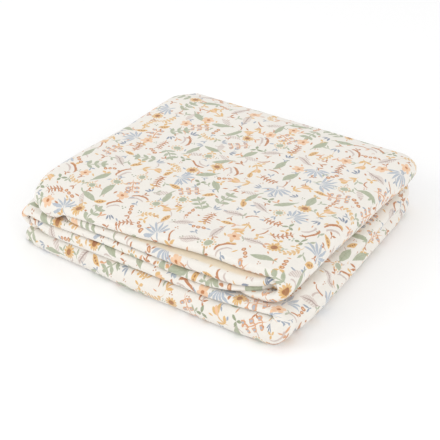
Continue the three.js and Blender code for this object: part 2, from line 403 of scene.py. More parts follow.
    top_creases: Sequence[SoftCrease] = (
        SoftCrease((-170, -95), (150, -88), 1.8, 26),
        SoftCrease((-120, -30), (120, -78), 0.9, 16),
        SoftCrease((-60, 120), (150, 60), 1.1, 22),
        SoftCrease((-150, 40), (-20, 100), 1.0, 20),
        SoftCrease((30, -20), (110, 60), -0.9, 24),
        SoftCrease((-140, -130), (-60, -100), -0.8, 14),
        SoftCrease((-10, -148), (100, -139), 1.5, 6),
        SoftCrease((0, -131), (95, -126), -0.8, 9),
        SoftCrease((-132, -126), (-80, -148), 1.2, 7),
        SoftCrease((112, -128), (146, -50), 1.0, 9),
        SoftCrease((-150, 60), (-96, 128), 0.9, 8),
    )

    @property
    def edge(self) -> float:
        """From the middle of a run's outer sheet to the run's boundary."""
        return self.sheet / 2 + self.clear

    def centre(self, turn: Turn, inward: float) -> float:
        """X of a turn's centre at a distance inward."""
        return self.centres[turn].at(inward)

    def boundary(self, level: int, x: float, inward: float) -> float:
        """Height of the boundary under a run, or of the top face.

        Args:
            level: the run's number, or the number of runs for the top face.
            x: the place along X, in millimetres.
            inward: the distance from the front plane.

        Returns:
            The height in millimetres.
        """
        thinned = ease((inward - self.thins_from) / self.thins_over)
        stack = mix(self.front_height, self.back_height, thinned)
        if level == 0:
            return -self.clear
        if level == len(Run):
            from_front = self.front_drop * (1 - ease(inward / self.front_round))
            behind = inward - self.depth + self.back_round
            return stack + self.clear - from_front - self.back_drop * ease(behind / self.back_round)
        evened = ease((inward - self.crease_reach) / self.crease_fade)
        return mix(self.creases[Run(level)].at(x), stack * level / len(Run), evened)

    def pinch(self, height: float, inward: float) -> float:
        """Depth of the soft crease on the right of the lower turn.

        Args:
            height: the place's height, in millimetres.
            inward: its distance from the front plane.

        Returns:
            How far the crease draws the cloth in.
        """
        nearest = math.inf
        for low, high in zip(self.side_crease, self.side_crease[1:]):
            run, rise = high[0] - low[0], high[1] - low[1]
            past, above = inward - low[0], height - low[1]
            share = clamp((past * run + above * rise) / (run * run + rise * rise))
            nearest = min(nearest, math.hypot(past - share * run, above - share * rise))
        return self.side_crease_depth * math.exp(-((nearest / self.side_crease_width) ** 2))

    def settle(self, x: float, y: float, z: float) -> Vector:
        """A place in the evenly folded bundle, moved to where the soft cloth has settled.

        Args:
            x, y, z: the place, in millimetres.

        Returns:
            The place in metres, with the middle of the bundle over the origin.
        """
        growth = clamp(z / self.front_height) ** self.wave_growth
        waves = sum(ripple.at(x, y) for ripple in self.top_waves)
        drop = sum(crease.drop(x, y) for crease in self.top_creases)
        lip = ease(1 - (y + self.depth / 2) / self.lip_zone)
        side = ease((abs(x) - self.side_from) / self.side_zone)
        held = ease(z / self.grip)
        sway_x = side * self.side_sway.at(y, z)
        sway_y = lip * sum(ripple.at(x, z) for ripple in self.lip_sways)
        lift = lip * self.lip_lift.at(x, z)
        return Vector(
            (
                x + sway_x * held - self.middle[0],
                y + sway_y * held - self.middle[1],
                z + (waves - drop) * growth + lift * held,
            )
        ) * MM


class Zone(Enum):
    """A part of the strip's section, and its share of the bake's map for each millimetre."""

    LAYER_1 = 1.0
    OUTER_LIP = 1.2
    LAYER_2 = 0.1
    BACK_FOLD = 0.6
    LAYER_3 = 0.11
    INNER_LIP = 1.1
    FLAP = 0.12


@dataclass
class SectionPoint:
    """A place in the strip's section.

    Args:
        inward: distance from the front plane, in millimetres.
        level: 0 at layer 4 of the run and 1 at layer 1.
        zone: the part of the section it is in.
        drift: 0 where the cloth is measured along layer 1, and 1 where along layer 4.
        trough_shade: how much of the plain tan painted shade of the trough's crevice covers the
            print.
    """

    inward: float
    level: float
    zone: Zone
    drift: float
    trough_shade: float = 0.0


@dataclass
class Station:
    """A place along the strip, where its section is set out.

    Args:
        bundle: the bundle's shape.
        upper: the run it is in, or the one that a turn comes from.
        lower: the run that a turn goes to, or the same run.
        share: how far it is along its run or turn.
        weight: its share of the bake's map for each millimetre.
    """

    LIP_INWARD = 20  # how far in the turns' centres are read for a lip's place

    bundle: Bundle
    upper: Run
    lower: Run
    share: float
    weight: float

    def place(self, inward: float, level: float) -> tuple[float, float]:
        """X and Z of a place in the section."""
        raise NotImplementedError

    def lip_x(self) -> float:
        """Where along X its lips are looked up."""
        raise NotImplementedError

    def blend(self) -> float:
        """How far its edges have gone from the upper run's to the lower run's."""
        return 0.0 if self.upper is self.lower else ease(self.share)

    def lip(self, name: str) -> float:
        """How far in the outer or the inner lip stands.

        Args:
            name: outer or inner.

        Returns:
            The lip's distance from the front plane.
        """
        lips, x = self.bundle.lips, self.lip_x()
        upper, lower = (getattr(lips[run], name).at(x) for run in (self.upper, self.lower))
        return mix(upper, lower, self.blend())

    def back(self, name: str) -> float:
        """How far in the hem or the back fold ends, or how far the hem droops."""
        edges = self.bundle.back_edges
        return mix(getattr(edges[self.upper], name), getattr(edges[self.lower], name), self.blend())

    def divide(self) -> float:
        """The level between the two lips.

        Returns:
            The level, which follows the top run's lip crease.
        """
        x = self.lip_x()
        low = self.bundle.creases[Run.TOP].at(x)
        top = (self.bundle.lip_crease.at(x) - low) / (self.bundle.front_height - low)
        upper, lower = (top if run is Run.TOP else 0.5 for run in (self.upper, self.lower))
        return mix(upper, lower, self.blend())

    def room(self, inward: float) -> float:
        """Distance between the middles of layers 1 and 4."""
        return math.dist(self.place(inward, 1), self.place(inward, 0))

    def section(self) -> list[SectionPoint]:
        """The middle of the sheet, from the hem of layer 1 to the hem of the flap."""
        return Section(self).points()


class RunStation(Station):
    """A station in one of the four runs."""

    BETWEEN = {
        Run.TOP: (Turn.TOP_END, Turn.UPPER_RIGHT, False),
        Run.SECOND: (Turn.UPPER_RIGHT, Turn.LEFT, True),
        Run.THIRD: (Turn.LEFT, Turn.LOWER_RIGHT, False),
        Run.BOTTOM: (Turn.LOWER_RIGHT, Turn.BOTTOM_END, True),
    }

    def place(self, inward: float, level: float) -> tuple[float, float]:
        """X and Z of a place in the section.

        Args:
            inward: the distance from the front plane.
            level: the level in the run.

        Returns:
            The place along X and the height, in millimetres.
        """
        start, end, flipped = self.BETWEEN[self.upper]
        x = mix(self.bundle.centre(start, inward), self.bundle.centre(end, inward), self.share)
        low = self.upper.value
        floor = self.bundle.boundary(low, x, inward) + self.bundle.edge
        roof = self.bundle.boundary(low + 1, x, inward) - self.bundle.edge
        return x, mix(roof, floor, level) if flipped else mix(floor, roof, level)

    def lip_x(self) -> float:
        """Where along X its lips are looked up.

        Returns:
            The place along X.
        """
        start, end, _ = self.BETWEEN[self.upper]
        at_start, at_end = (self.bundle.centre(turn, self.LIP_INWARD) for turn in (start, end))
        return mix(at_start, at_end, self.share)


class TurnStation(Station):
    """A station in a half turn between two runs, about the boundary between them."""

    TURNS = {
        Run.TOP: (Turn.UPPER_RIGHT, 1),
        Run.SECOND: (Turn.LEFT, -1),
        Run.THIRD: (Turn.LOWER_RIGHT, 1),
    }
    LIP_OUT = 10  # how far past its centre a turn's lips are looked up

    def place(self, inward: float, level: float) -> tuple[float, float]:
        """X and Z of a place in the section.

        Args:
            inward: the distance from the front plane.
            level: the level in the strip.

        Returns:
            The place along X and the height, in millimetres.
        """
        bundle = self.bundle
        turn, side = self.TURNS[self.upper]
        angle = math.pi * (0.5 - self.share)
        x = bundle.centre(turn, inward)
        low = self.upper.value
        middle = bundle.boundary(low, x, inward)
        above = bundle.boundary(low + 1, x, inward) - middle
        below = middle - bundle.boundary(low - 1, x, inward)
        room = above if self.share < 0.5 else below
        outward = level if side > 0 else 1 - level
        opening = bundle.hollow_rise * (1 - outward) * math.sin(2 * angle)
        rise = mix(bundle.edge, room - bundle.edge, outward) * math.sin(angle) + opening
        reach = bundle.reaches[turn]
        pinch = bundle.pinch(middle + rise, inward) if turn is Turn.LOWER_RIGHT else 0.0
        spread = mix(bundle.hollow, reach - bundle.edge, outward) * math.cos(angle)
        return x + side * spread * (1 - pinch / reach), middle + rise

    def lip_x(self) -> float:
        """Where along X its lips are looked up."""
        turn, side = self.TURNS[self.upper]
        return self.bundle.centre(turn, self.LIP_INWARD) + side * self.LIP_OUT


class EndStation(Station):
    """A station in a drooping end of the strip, whose sheets curve down outside each other."""

    def bend(self) -> tuple[Turn, float]:
        """The end it is in, and how far up its bend it is, as an angle."""
        turn = Turn.TOP_END if self.upper is Run.TOP else Turn.BOTTOM_END
        return turn, math.pi / 2 * (1 - self.share)

    def place(self, inward: float, level: float) -> tuple[float, float]:
        """X and Z of a place in the section.

        Args:
            inward: the distance from the front plane.
            level: the level in the run.

        Returns:
            The place along X and the height, in millimetres.
        """
        bundle = self.bundle
        turn, angle = self.bend()
        x = bundle.centre(turn, inward)
        low = self.upper.value
        floor = bundle.boundary(low, x, inward) + bundle.edge
        roof = bundle.boundary(low + 1, x, inward) - bundle.edge
        outward = level if self.upper is Run.TOP else 1 - level
        spread = mix(bundle.end_spread, bundle.reaches[turn] - bundle.edge, outward)
        return x - spread * math.cos(angle), mix(floor, roof, outward * math.sin(angle))

    def lip_x(self) -> float:
        """Where along X its lips are looked up.

        Returns:
            The place along X.
        """
        turn, angle = self.bend()
        reach = self.bundle.reaches[turn] * math.cos(angle)
        return self.bundle.centre(turn, self.LIP_INWARD) - reach


LEAST_NECK = 5.0


@dataclass
class Neck:
    """Where a lip's inner sheet draws in to its even place."""

    start: float
    length: float

    @classmethod
    def of(cls, start: float, neighbour: float, swell: float, usual: float) -> "Neck":
        """The neck behind a lip, which ends before the neighbour that the lip has swollen over.

        Args:
            start: where the lip's loop ends.
            neighbour: where the neighbouring lip stands.
            swell: how far the lip has swollen over its neighbour.
            usual: the length of an unhindered neck.

        Returns:
            The neck.
        """
        length = mix(usual, min(usual, max(LEAST_NECK, neighbour - start)), swell)
        return cls(max(start, mix(start, neighbour - length, swell)), length)

    def share(self, inward: float) -> float:
        """How far the sheet has drawn in."""
        return ease((inward - self.start) / self.length)


@dataclass
class Section:
    """The strip's section at one station, worked out from its lips, neck, flap and back edges."""

    station: Station
    layer_1_steps: int = 52
    layer_steps: int = 26
    lip_steps: int = 16
    fold_steps: int = 10
    flap_steps: int = 9
    bead: Sequence[float] = (0.0, 0.4, 1.1, 2.2)  # rows that round off the hem of layer 1
    flap_bead: Sequence[float] = (1.1, 1.8, 2.2)  # and the flap's
    swell_from: float = 6  # how far a lip stands out past the other one as it starts to swell
    swell_over: float = 16
    trough_slack: float = 9  # how much later the inner lip of the top run starts to
    loop_share: float = 0.42  # a lip's depth, as a share of its height
    least_loop: float = 2.5
    most_loop: float = 10
    lap: float = 3  # how far short of the other lip a swollen lip's neck ends
    hem_bend: float = 9  # width of the hem that droops
    drift_from: float = 60  # how far in layers 2 and 3 drift towards the middle of the cloth
    drift_over: float = 200
    crowding: float = 0.8  # how much closer rows are near the folds
    trough_shade_over: float = 3  # over which the print gives way to the plain tan painted shade of the trough

    def loop(
        self, tip: float, reach: float, high: float, low: float, side: int
    ) -> list[tuple[float, float]]:
        """Places round a loop, from its upper sheet to its lower one.

        Args:
            tip: how far in the loop's outermost place is.
            reach: how deep the loop is.
            high, low: levels of its two sheets.
            side: 1 at the front and -1 at the back.

        Returns:
            The inward distance and level of each place.
        """
        steps = self.lip_steps if side > 0 else self.fold_steps
        found = []
        for i in range(steps + 1):
            angle = math.pi * (0.5 - i / steps)
            bulge = max(0.0, math.cos(angle)) ** self.station.bundle.fullness
            level = mix((high + low) / 2, high, math.sin(angle))
            found.append((tip + side * reach * (1 - bulge), level))
        return found

    @staticmethod
    def between(start: float, end: float, steps: int, crowding: float = 0.6) -> list[float]:
        """Places strictly between two others, closer together near them."""
        shares = (i / (steps + 1) for i in range(1, steps + 1))
        return [mix(start, end, mix(share, ease(share), crowding)) for share in shares]

    def loop_depth(self, height: float) -> float:
        """How deep a lip's loop is for its height."""
        return clamp(self.loop_share * height, self.least_loop, self.most_loop)

    def points(self) -> list[SectionPoint]:
        """The section's places in order, as many at every station.

        Returns:
            The places, from the hem of layer 1 to the hem of the flap.
        """
        station, bundle = self.station, self.station.bundle
        half_sheet = bundle.sheet / 2
        outer, inner = station.lip("outer"), station.lip("inner")
        half = min(1 / 6, bundle.lip_pitch / 2 / station.room(max(outer, inner)))
        divide = clamp(station.divide(), 3 * half, 1 - 3 * half)
        in_trough = 1.0 if station.upper is Run.TOP and station.lower is Run.TOP else 0.0
        slack = self.swell_from + self.trough_slack * in_trough
        outer_swell = ease((inner - outer - self.swell_from) / self.swell_over)
        inner_swell = ease((outer - inner - slack) / self.swell_over)
        outer_low = mix(divide + half, 0, outer_swell)
        inner_high = mix(divide - half, 1, inner_swell)
        outer_reach = self.loop_depth((1 - outer_low) * station.room(outer))
        inner_reach = self.loop_depth(inner_high * station.room(inner))
        outer_start = outer + half_sheet + outer_reach
        inner_start = inner + half_sheet + inner_reach
        outer_neck = Neck.of(outer_start, inner - self.lap, outer_swell, bundle.neck)
        inner_neck = Neck.of(inner_start, outer - self.lap, inner_swell, bundle.neck)
        hem = bundle.depth - station.back("hem")
        fold_tip = bundle.depth - station.back("fold") - half_sheet
        fold_start = fold_tip - bundle.fold_reach
        droop = station.back("droop")

        def inside(inward: float) -> float:
            """How far layers 2 and 3 have spread into the room past the flap."""
            return ease((inward - bundle.flap_reach - self.lap) / bundle.flap_step)

        def layer_1(inward: float) -> float:
            """The level of layer 1."""
            return 1 - droop * ease((inward - hem + self.hem_bend) / self.hem_bend) ** 2

        def layer_2(inward: float) -> float:
            """The level of layer 2."""
            return mix(outer_low, mix(2 / 3, 1 / 2, inside(inward)), outer_neck.share(inward))

        def layer_3(inward: float) -> float:
            """The level of layer 3."""
            return mix(inner_high, mix(1 / 3, 0, inside(inward)), inner_neck.share(inward))

        def drift(inward: float) -> float:
            """Half the drift of the cloth's measure from layer 1 to layer 4."""
            return 0.5 * ease((inward - self.drift_from) / self.drift_over)

        found = [SectionPoint(hem - b, layer_1(hem - b), Zone.LAYER_1, 0) for b in self.bead]
        found += [
            SectionPoint(p, layer_1(p), Zone.LAYER_1, 0)
            for p in self.between(hem - self.bead[-1], outer_start, self.layer_1_steps)
        ]
        found += [
            SectionPoint(p, level, Zone.OUTER_LIP, 0)
            for p, level in self.loop(outer + half_sheet, outer_reach, 1, outer_low, 1)
        ]
        found += [
            SectionPoint(p, layer_2(p), Zone.LAYER_2, drift(p))
            for p in self.between(outer_start, fold_start, self.layer_steps, self.crowding)
        ]
        found += [
            SectionPoint(p, level, Zone.BACK_FOLD, 0.5)
            for p, level in self.loop(fold_tip, bundle.fold_reach, 0.5, 0, -1)
        ]
        for p in self.between(fold_start, inner_start, self.layer_steps, self.crowding):
            # layer 3 of the top run shows in the trough between the lips: it is painted plain tan
            # there, as the crevice's warm shade
            trough_shade = in_trough * ease((p - inner_start) / self.trough_shade_over)
            found.append(SectionPoint(p, layer_3(p), Zone.LAYER_3, 1 - drift(p), trough_shade))
        found += [
            SectionPoint(p, level, Zone.INNER_LIP, 1)
            for p, level in self.loop(inner + half_sheet, inner_reach, inner_high, 0, 1)
        ]
        found += [
            SectionPoint(p, 0, Zone.FLAP, 1)
            for p in self.between(inner_start, bundle.flap_reach, self.flap_steps)
        ]
        edge = bundle.flap_reach
        return found + [SectionPoint(edge + b, 0, Zone.FLAP, 1) for b in self.flap_bead]


@dataclass
class Strip:
    """The stations along the whole strip, from its top end to its bottom end."""

    bundle: Bundle
    run_steps: int = 46
    hidden_run_steps: int = 30
    turn_steps: int = 24
    crowding: float = 0.55  # how much closer stations are near the turns
    end_shares: Sequence[float] = (0.12, 0.26, 0.4, 0.54, 0.68, 0.82, 0.92, 0.97, 0.99, 1.0)
    shown: float = 1.0  # shares of the bake's map for each millimetre along the strip
    near_floor: float = 0.8
    underside: float = 0.6
    hidden: float = 0.4

    def stations(self) -> list[Station]:
        """Every station in order.

        Returns:
            The stations, from the top end to the bottom end.
        """
        bundle = self.bundle
        found: list[Station] = [
            EndStation(bundle, Run.TOP, Run.TOP, share, self.shown)
            for share in reversed(self.end_shares)
        ]
        found += self.run(Run.TOP, self.run_steps, self.shown)
        found += self.turn(Run.TOP, Run.SECOND)
        found += self.run(Run.SECOND, self.hidden_run_steps, self.hidden)
        found += self.turn(Run.SECOND, Run.THIRD)
        found += self.run(Run.THIRD, self.hidden_run_steps, self.hidden)
        found += self.turn(Run.THIRD, Run.BOTTOM)
        found += self.run(Run.BOTTOM, self.run_steps, self.underside)
        return found + [
            EndStation(bundle, Run.BOTTOM, Run.BOTTOM, share, self.near_floor)
            for share in self.end_shares
        ]

    def run(self, run: Run, steps: int, weight: float) -> list[Station]:
        """The stations of one run, closer together near its turns."""
        shares = Section.between(0, 1, steps, self.crowding)
        return [RunStation(self.bundle, run, run, share, weight) for share in shares]

    def turn(self, upper: Run, lower: Run) -> list[Station]:
        """The stations of a half turn.

        Args:
            upper: the run that the turn comes from.
            lower: the run that it goes to.

        Returns:
            The stations.
        """
        return [
            TurnStation(self.bundle, upper, lower, i / self.turn_steps, self.shown)
            for i in range(self.turn_steps + 1)
        ]


@dataclass
class ClothGrid:
    """The cloth's places, one row for each station, with where each lies on the flat cloth."""

    bundle: Bundle
    reference: float = 110  # how far in the cloth's length is measured
    least_step: float = 0.4  # between two rows or columns of the bake's map
    margin: float = 0.004  # round that map
    map_section: int = 12  # the map's widths are read one part in this many along the strip
    map_column: int = 30  # and its lengths along this column
    places: list[list[Vector]] = field(init=False, default_factory=list)
    flat: list[list[tuple[float, float]]] = field(init=False, default_factory=list)
    map_place: list[list[tuple[float, float]]] = field(init=False, default_factory=list)
    trough_shade: list[list[float]] = field(init=False, default_factory=list)
    edge: list[list[float]] = field(init=False, default_factory=list)

    def __post_init__(self) -> None:
        """Sets out every station and measures the cloth along and across them."""
        stations = Strip(self.bundle).stations()
        sections = [station.section() for station in stations]
        for station, points in zip(stations, sections):
            row = []
            for point in points:
                x, z = station.place(point.inward, point.level)
                row.append(self.bundle.settle(x, point.inward - self.bundle.depth / 2, z))
            self.places.append(row)
            self.trough_shade.append([point.trough_shade for point in points])
        along_1, along_4 = (self.lengths(stations, level) for level in (1, 0))
        for row, points, near, far in zip(self.places, sections, along_1, along_4):
            across = [0.0]
            for a, b in zip(row, row[1:]):
                across.append(across[-1] + (b - a).length)
            length = [mix(near, far, point.drift) for point in points]
            self.flat.append(list(zip(across, length)))
            ends = [mix(along_1[-1], along_4[-1], point.drift) for point in points]
            self.edge.append(
                [min(b, across[-1] - b, a, end - a) for b, a, end in zip(across, length, ends)]
            )
        self.set_out_map(stations, sections)

    def lengths(self, stations: Sequence[Station], level: float) -> list[float]:
        """The length of the cloth up to each station, in metres, along one of its layers.

        Args:
            stations: the stations.
            level: the layer's level.

        Returns:
            The length up to each station.
        """
        total, found = 0.0, [0.0]
        places = [station.place(self.reference, level) for station in stations]
        for a, b in zip(places, places[1:]):
            total += math.dist(a, b) * MM
            found.append(total)
        return found

    def set_out_map(
        self, stations: Sequence[Station], sections: Sequence[list[SectionPoint]]
    ) -> None:
        """Lays the cloth out in a square, with the most room for what shows.

        Args:
            stations: the stations.
            sections: each station's places.
        """
        middle = len(stations) // self.map_section
        across, along = [0.0], [0.0]
        row, points = self.places[middle], sections[middle]
        for a, b, point in zip(row, row[1:], points):
            across.append(across[-1] + max((b - a).length, self.least_step * MM) * point.zone.value)
        column = [row[self.map_column] for row in self.places]
        for a, b, station in zip(column, column[1:], stations):
            along.append(along[-1] + max((b - a).length, self.least_step * MM) * station.weight)
        room = 1 - 2 * self.margin
        columns = [self.margin + room * b / across[-1] for b in across]
        self.map_place = [[(b, self.margin + room * a / along[-1]) for b in columns] for a in along]


Socket = bpy.types.NodeSocket
Input = Socket | float | tuple[float, ...]


def paint(red: int, green: int, blue: int) -> tuple[float, float, float, float]:
    """A dye's colour, given from 0 to 255 as seen, as the shader wants it.

    Args:
        red, green, blue: how much of each, from 0 to 255.

    Returns:
        The colour in the shader's own even units, with its alpha.
    """
    seen = (channel / 255 for channel in (red, green, blue))
    even = (v / 12.92 if v <= 0.04045 else ((v + 0.055) / 1.055) ** 2.4 for v in seen)
    return (*even, 1.0)


class Dye(Enum):
    """The colours that the fleece is dyed and printed with, and the tan of its painted crevice
    shade.
    """

    GROUND = paint(232, 228, 221)
    # a warm tan: the painted shade in the top run's trough, and the tint of the ground's faint
    # random clouds
    SHADE_AND_CLOUD_TAN = paint(228, 214, 190)
    SAGE = paint(168, 174, 149)
    MOSS = paint(146, 154, 125)
    OCHRE = paint(218, 176, 114)
    RUST = paint(186, 122, 76)
    BROWN = paint(164, 112, 74)
    MAUVE = paint(202, 186, 178)
    TAUPE = paint(168, 148, 140)
    SKY = paint(174, 182, 192)
    SLATE = paint(149, 159, 173)
    NAVY = paint(120, 132, 152)
    CLAY = paint(213, 156, 113)
    PEACH = paint(232, 192, 156)


HALF = (0.5, 0.5, 0.5)


@dataclass
class Wiring:
    """Adds nodes to a tree and links them."""

    tree: bpy.types.NodeTree

    def node(self, kind: str, **settings: object) -> bpy.types.Node:
        """Adds a node.

        Args:
            kind: its type.
            settings: its properties.

        Returns:
            The node.
        """
        made = self.tree.nodes.new(kind)
        for name, value in settings.items():
            setattr(made, name, value)
        return made

    def feed(self, socket: Socket, value: Input) -> None:
        """Links a socket to another one, or sets it to a number, vector or colour.

        Args:
            socket: the socket that is fed.
            value: what it gets.
        """
        if isinstance(value, bpy.types.NodeSocket):
            self.tree.links.new(value, socket)
        else:
            socket.default_value = value

    def fed(
        self, kind: str, inputs: Sequence[Input] | dict[int | str, Input], **settings: object
    ) -> bpy.types.Node:
        """Adds a node and feeds its inputs.

        Args:
            kind: its type.
            inputs: what its inputs are given, in order, or by their numbers or names.
            settings: its properties.

        Returns:
            The node.
        """
        made = self.node(kind, **settings)
        for key, value in dict(inputs if isinstance(inputs, dict) else enumerate(inputs)).items():
            self.feed(made.inputs[key], value)
        return made

    def math(self, operation: str, *values: Input, held: bool = False) -> Socket:
        """A sum or function of numbers, held between 0 and 1 where asked."""
        return self.fed("ShaderNodeMath", values, operation=operation, use_clamp=held).outputs[0]

    def vector(self, operation: str, *values: Input) -> Socket:
        """A sum or function of vectors, as a vector."""
        return self.fed("ShaderNodeVectorMath", values, operation=operation).outputs["Vector"]

    def length(self, value: Input) -> Socket:
        """The length of a vector."""
        return self.fed("ShaderNodeVectorMath", [value], operation="LENGTH").outputs["Value"]

    def scaled(self, value: Input, size: Input) -> Socket:
        """A vector made longer or shorter."""
        inputs = {"Vector": value, "Scale": size}
        return self.fed("ShaderNodeVectorMath", inputs, operation="SCALE").outputs["Vector"]

    def parts(self, value: Input) -> tuple[Socket, Socket]:
        """The X and Y of a vector."""
        x, y, _ = self.fed("ShaderNodeSeparateXYZ", [value]).outputs
        return x, y

    def joined(self, x: Input, y: Input) -> Socket:
        """A vector of an X and a Y."""
        return self.fed("ShaderNodeCombineXYZ", [x, y]).outputs[0]

    def turned(self, value: Input, angle: Input) -> Socket:
        """A vector turned about Z, by an angle in radians."""
        inputs = {"Vector": value, "Angle": angle}
        return self.fed("ShaderNodeVectorRotate", inputs, rotation_type="Z_AXIS").outputs[0]

    def noise(
        self, place: Input, scale: float, detail: float = 2.0, roughness: float = 0.5
    ) -> bpy.types.Node:
        """Soft noise, with as many bumps to a unit of length as the scale."""
        inputs = {"Vector": place, "Scale": scale, "Detail": detail, "Roughness": roughness}
        return self.fed("ShaderNodeTexNoise", inputs)

    def mixed(self, share: Input, below: Input, above: Input) -> Socket:
        """One colour over another."""
        inputs = {0: share, 6: below, 7: above}
        return self.fed("ShaderNodeMix", inputs, data_type="RGBA").outputs[2]

    def placed(self, group: bpy.types.NodeTree, **inputs: Input) -> bpy.types.Node:
        """A group with its inputs."""
        return self.fed("ShaderNodeGroup", inputs, node_tree=group)

    def inside(self, value: Input, limit: Input, crisp: float) -> Socket:
        """1 where a value lies between minus and plus a limit, with soft edges."""
        spare = self.math("SUBTRACT", limit, self.math("ABSOLUTE", value))
        return self.math("ADD", self.math("MULTIPLY", spare, crisp), 0.5, held=True)

    def centred(self, value: Input) -> Socket:
        """A vector whose parts run from 0 to 1, moved to lie about 0."""
        return self.vector("SUBTRACT", value, HALF)


@dataclass
class GroupMaker:
    """Makes a node group with named inputs and outputs.

    Args:
        name: the group's name.
        inputs: each input's name and socket type.
        outputs: each output's name and socket type.
    """

    name: str
    inputs: dict[str, str]
    outputs: dict[str, str]
    wiring: Wiring = field(init=False)
    given: bpy.types.Node = field(init=False)
    result: bpy.types.Node = field(init=False)

    def __post_init__(self) -> None:
        """Makes the empty group with its sockets."""
        tree = bpy.data.node_groups.new(self.name, "ShaderNodeTree")
        for sockets, direction in ((self.inputs, "INPUT"), (self.outputs, "OUTPUT")):
            for name, kind in sockets.items():
                tree.interface.new_socket(name=name, in_out=direction, socket_type=kind)
        self.wiring = Wiring(tree)
        self.given = self.wiring.node("NodeGroupInput")
        self.result = self.wiring.node("NodeGroupOutput")

    def input(self, name: str) -> Socket:
        """What the group is given under a name."""
        return self.given.outputs[name]

    def finish(self, **outputs: Input) -> bpy.types.NodeTree:
        """Feeds the group's outputs and returns the group.

        Args:
            outputs: what each output gets.

        Returns:
            The group.
        """
        for name, value in outputs.items():
            self.wiring.feed(self.result.inputs[name], value)
        return self.wiring.tree


FLOAT = "NodeSocketFloat"
VECTOR = "NodeSocketVector"
COLOUR = "NodeSocketColor"
SOFT_EDGE = 1.9  # how fast the ink fades at an edge: the share of it lost over a millimetre
VEIN_HALF_WIDTH = 0.3


class Stamps:
    """The simple shapes that the print's motifs are put together from, in millimetres."""

    def __init__(self) -> None:
        """Builds each shape's group once."""
        self.oval = self.make_oval()
        self.leaf = self.make_leaf()
        self.rosette = self.make_rosette()

    @staticmethod
    def about(maker: GroupMaker) -> Socket:
        """The group's place, measured from its centre."""
        return maker.wiring.vector("SUBTRACT", maker.input("Place"), maker.input("Centre"))

    def make_oval(self) -> bpy.types.NodeTree:
        """An oval about a centre, turned, with a soft edge.

        Returns:
            The group.
        """
        maker = GroupMaker(
            "print_oval",
            {"Place": VECTOR, "Centre": VECTOR, "Turn": FLOAT, "Radii": VECTOR},
            {"Mask": FLOAT},
        )
        w = maker.wiring
        place = w.turned(self.about(maker), maker.input("Turn"))
        share = w.length(w.vector("DIVIDE", place, maker.input("Radii")))
        width, _ = w.parts(maker.input("Radii"))
        spare = w.math("SUBTRACT", 1.0, share)
        inside = w.math("MULTIPLY", spare, w.math("MULTIPLY", width, SOFT_EDGE))
        return maker.finish(Mask=w.math("ADD", inside, 0.5, held=True))

    def make_leaf(self) -> bpy.types.NodeTree:
        """A pointed leaf along Y about a centre, turned, with its middle vein.

        Returns:
            The group.
        """
        maker = GroupMaker(
            "print_leaf",
            {"Place": VECTOR, "Centre": VECTOR, "Turn": FLOAT}
            | {"Half Length": FLOAT, "Half Width": FLOAT},
            {"Mask": FLOAT, "Vein": FLOAT},
        )
        w = maker.wiring
        place = w.turned(self.about(maker), maker.input("Turn"))
        x, y = w.parts(place)
        share = w.math("DIVIDE", y, maker.input("Half Length"))
        narrowed = w.math("SUBTRACT", 1.0, w.math("MULTIPLY", share, share))
        half = w.math("MULTIPLY", maker.input("Half Width"), narrowed)
        mask = w.inside(x, half, SOFT_EDGE)
        line = w.inside(x, VEIN_HALF_WIDTH, SOFT_EDGE)
        return maker.finish(Mask=mask, Vein=w.math("MULTIPLY", mask, line))

    def make_rosette(self) -> bpy.types.NodeTree:
        """Places round a centre folded into one sector about +Y, with the angle before the fold.

        Returns:
            The group.
        """
        maker = GroupMaker(
            "print_rosette",
            {"Place": VECTOR, "Centre": VECTOR, "Sector": FLOAT},
            {"Place": VECTOR, "Angle": FLOAT},
        )
        w = maker.wiring
        place = self.about(maker)
        x, y = w.parts(place)
        angle = w.math("ARCTAN2", x, y)
        sector = maker.input("Sector")
        count = w.math("ROUND", w.math("DIVIDE", angle, sector))
        inside = w.math("SUBTRACT", angle, w.math("MULTIPLY", count, sector))
        radius = w.length(place)
        folded = w.joined(
            w.math("MULTIPLY", radius, w.math("SINE", inside)),
            w.math("MULTIPLY", radius, w.math("COSINE", inside)),
        )
        return maker.finish(Place=folded, Angle=angle)


@dataclass(frozen=True)
class Inks:
    """A motif's main colour and the colour of its details."""

    main: Dye
    accent: Dye


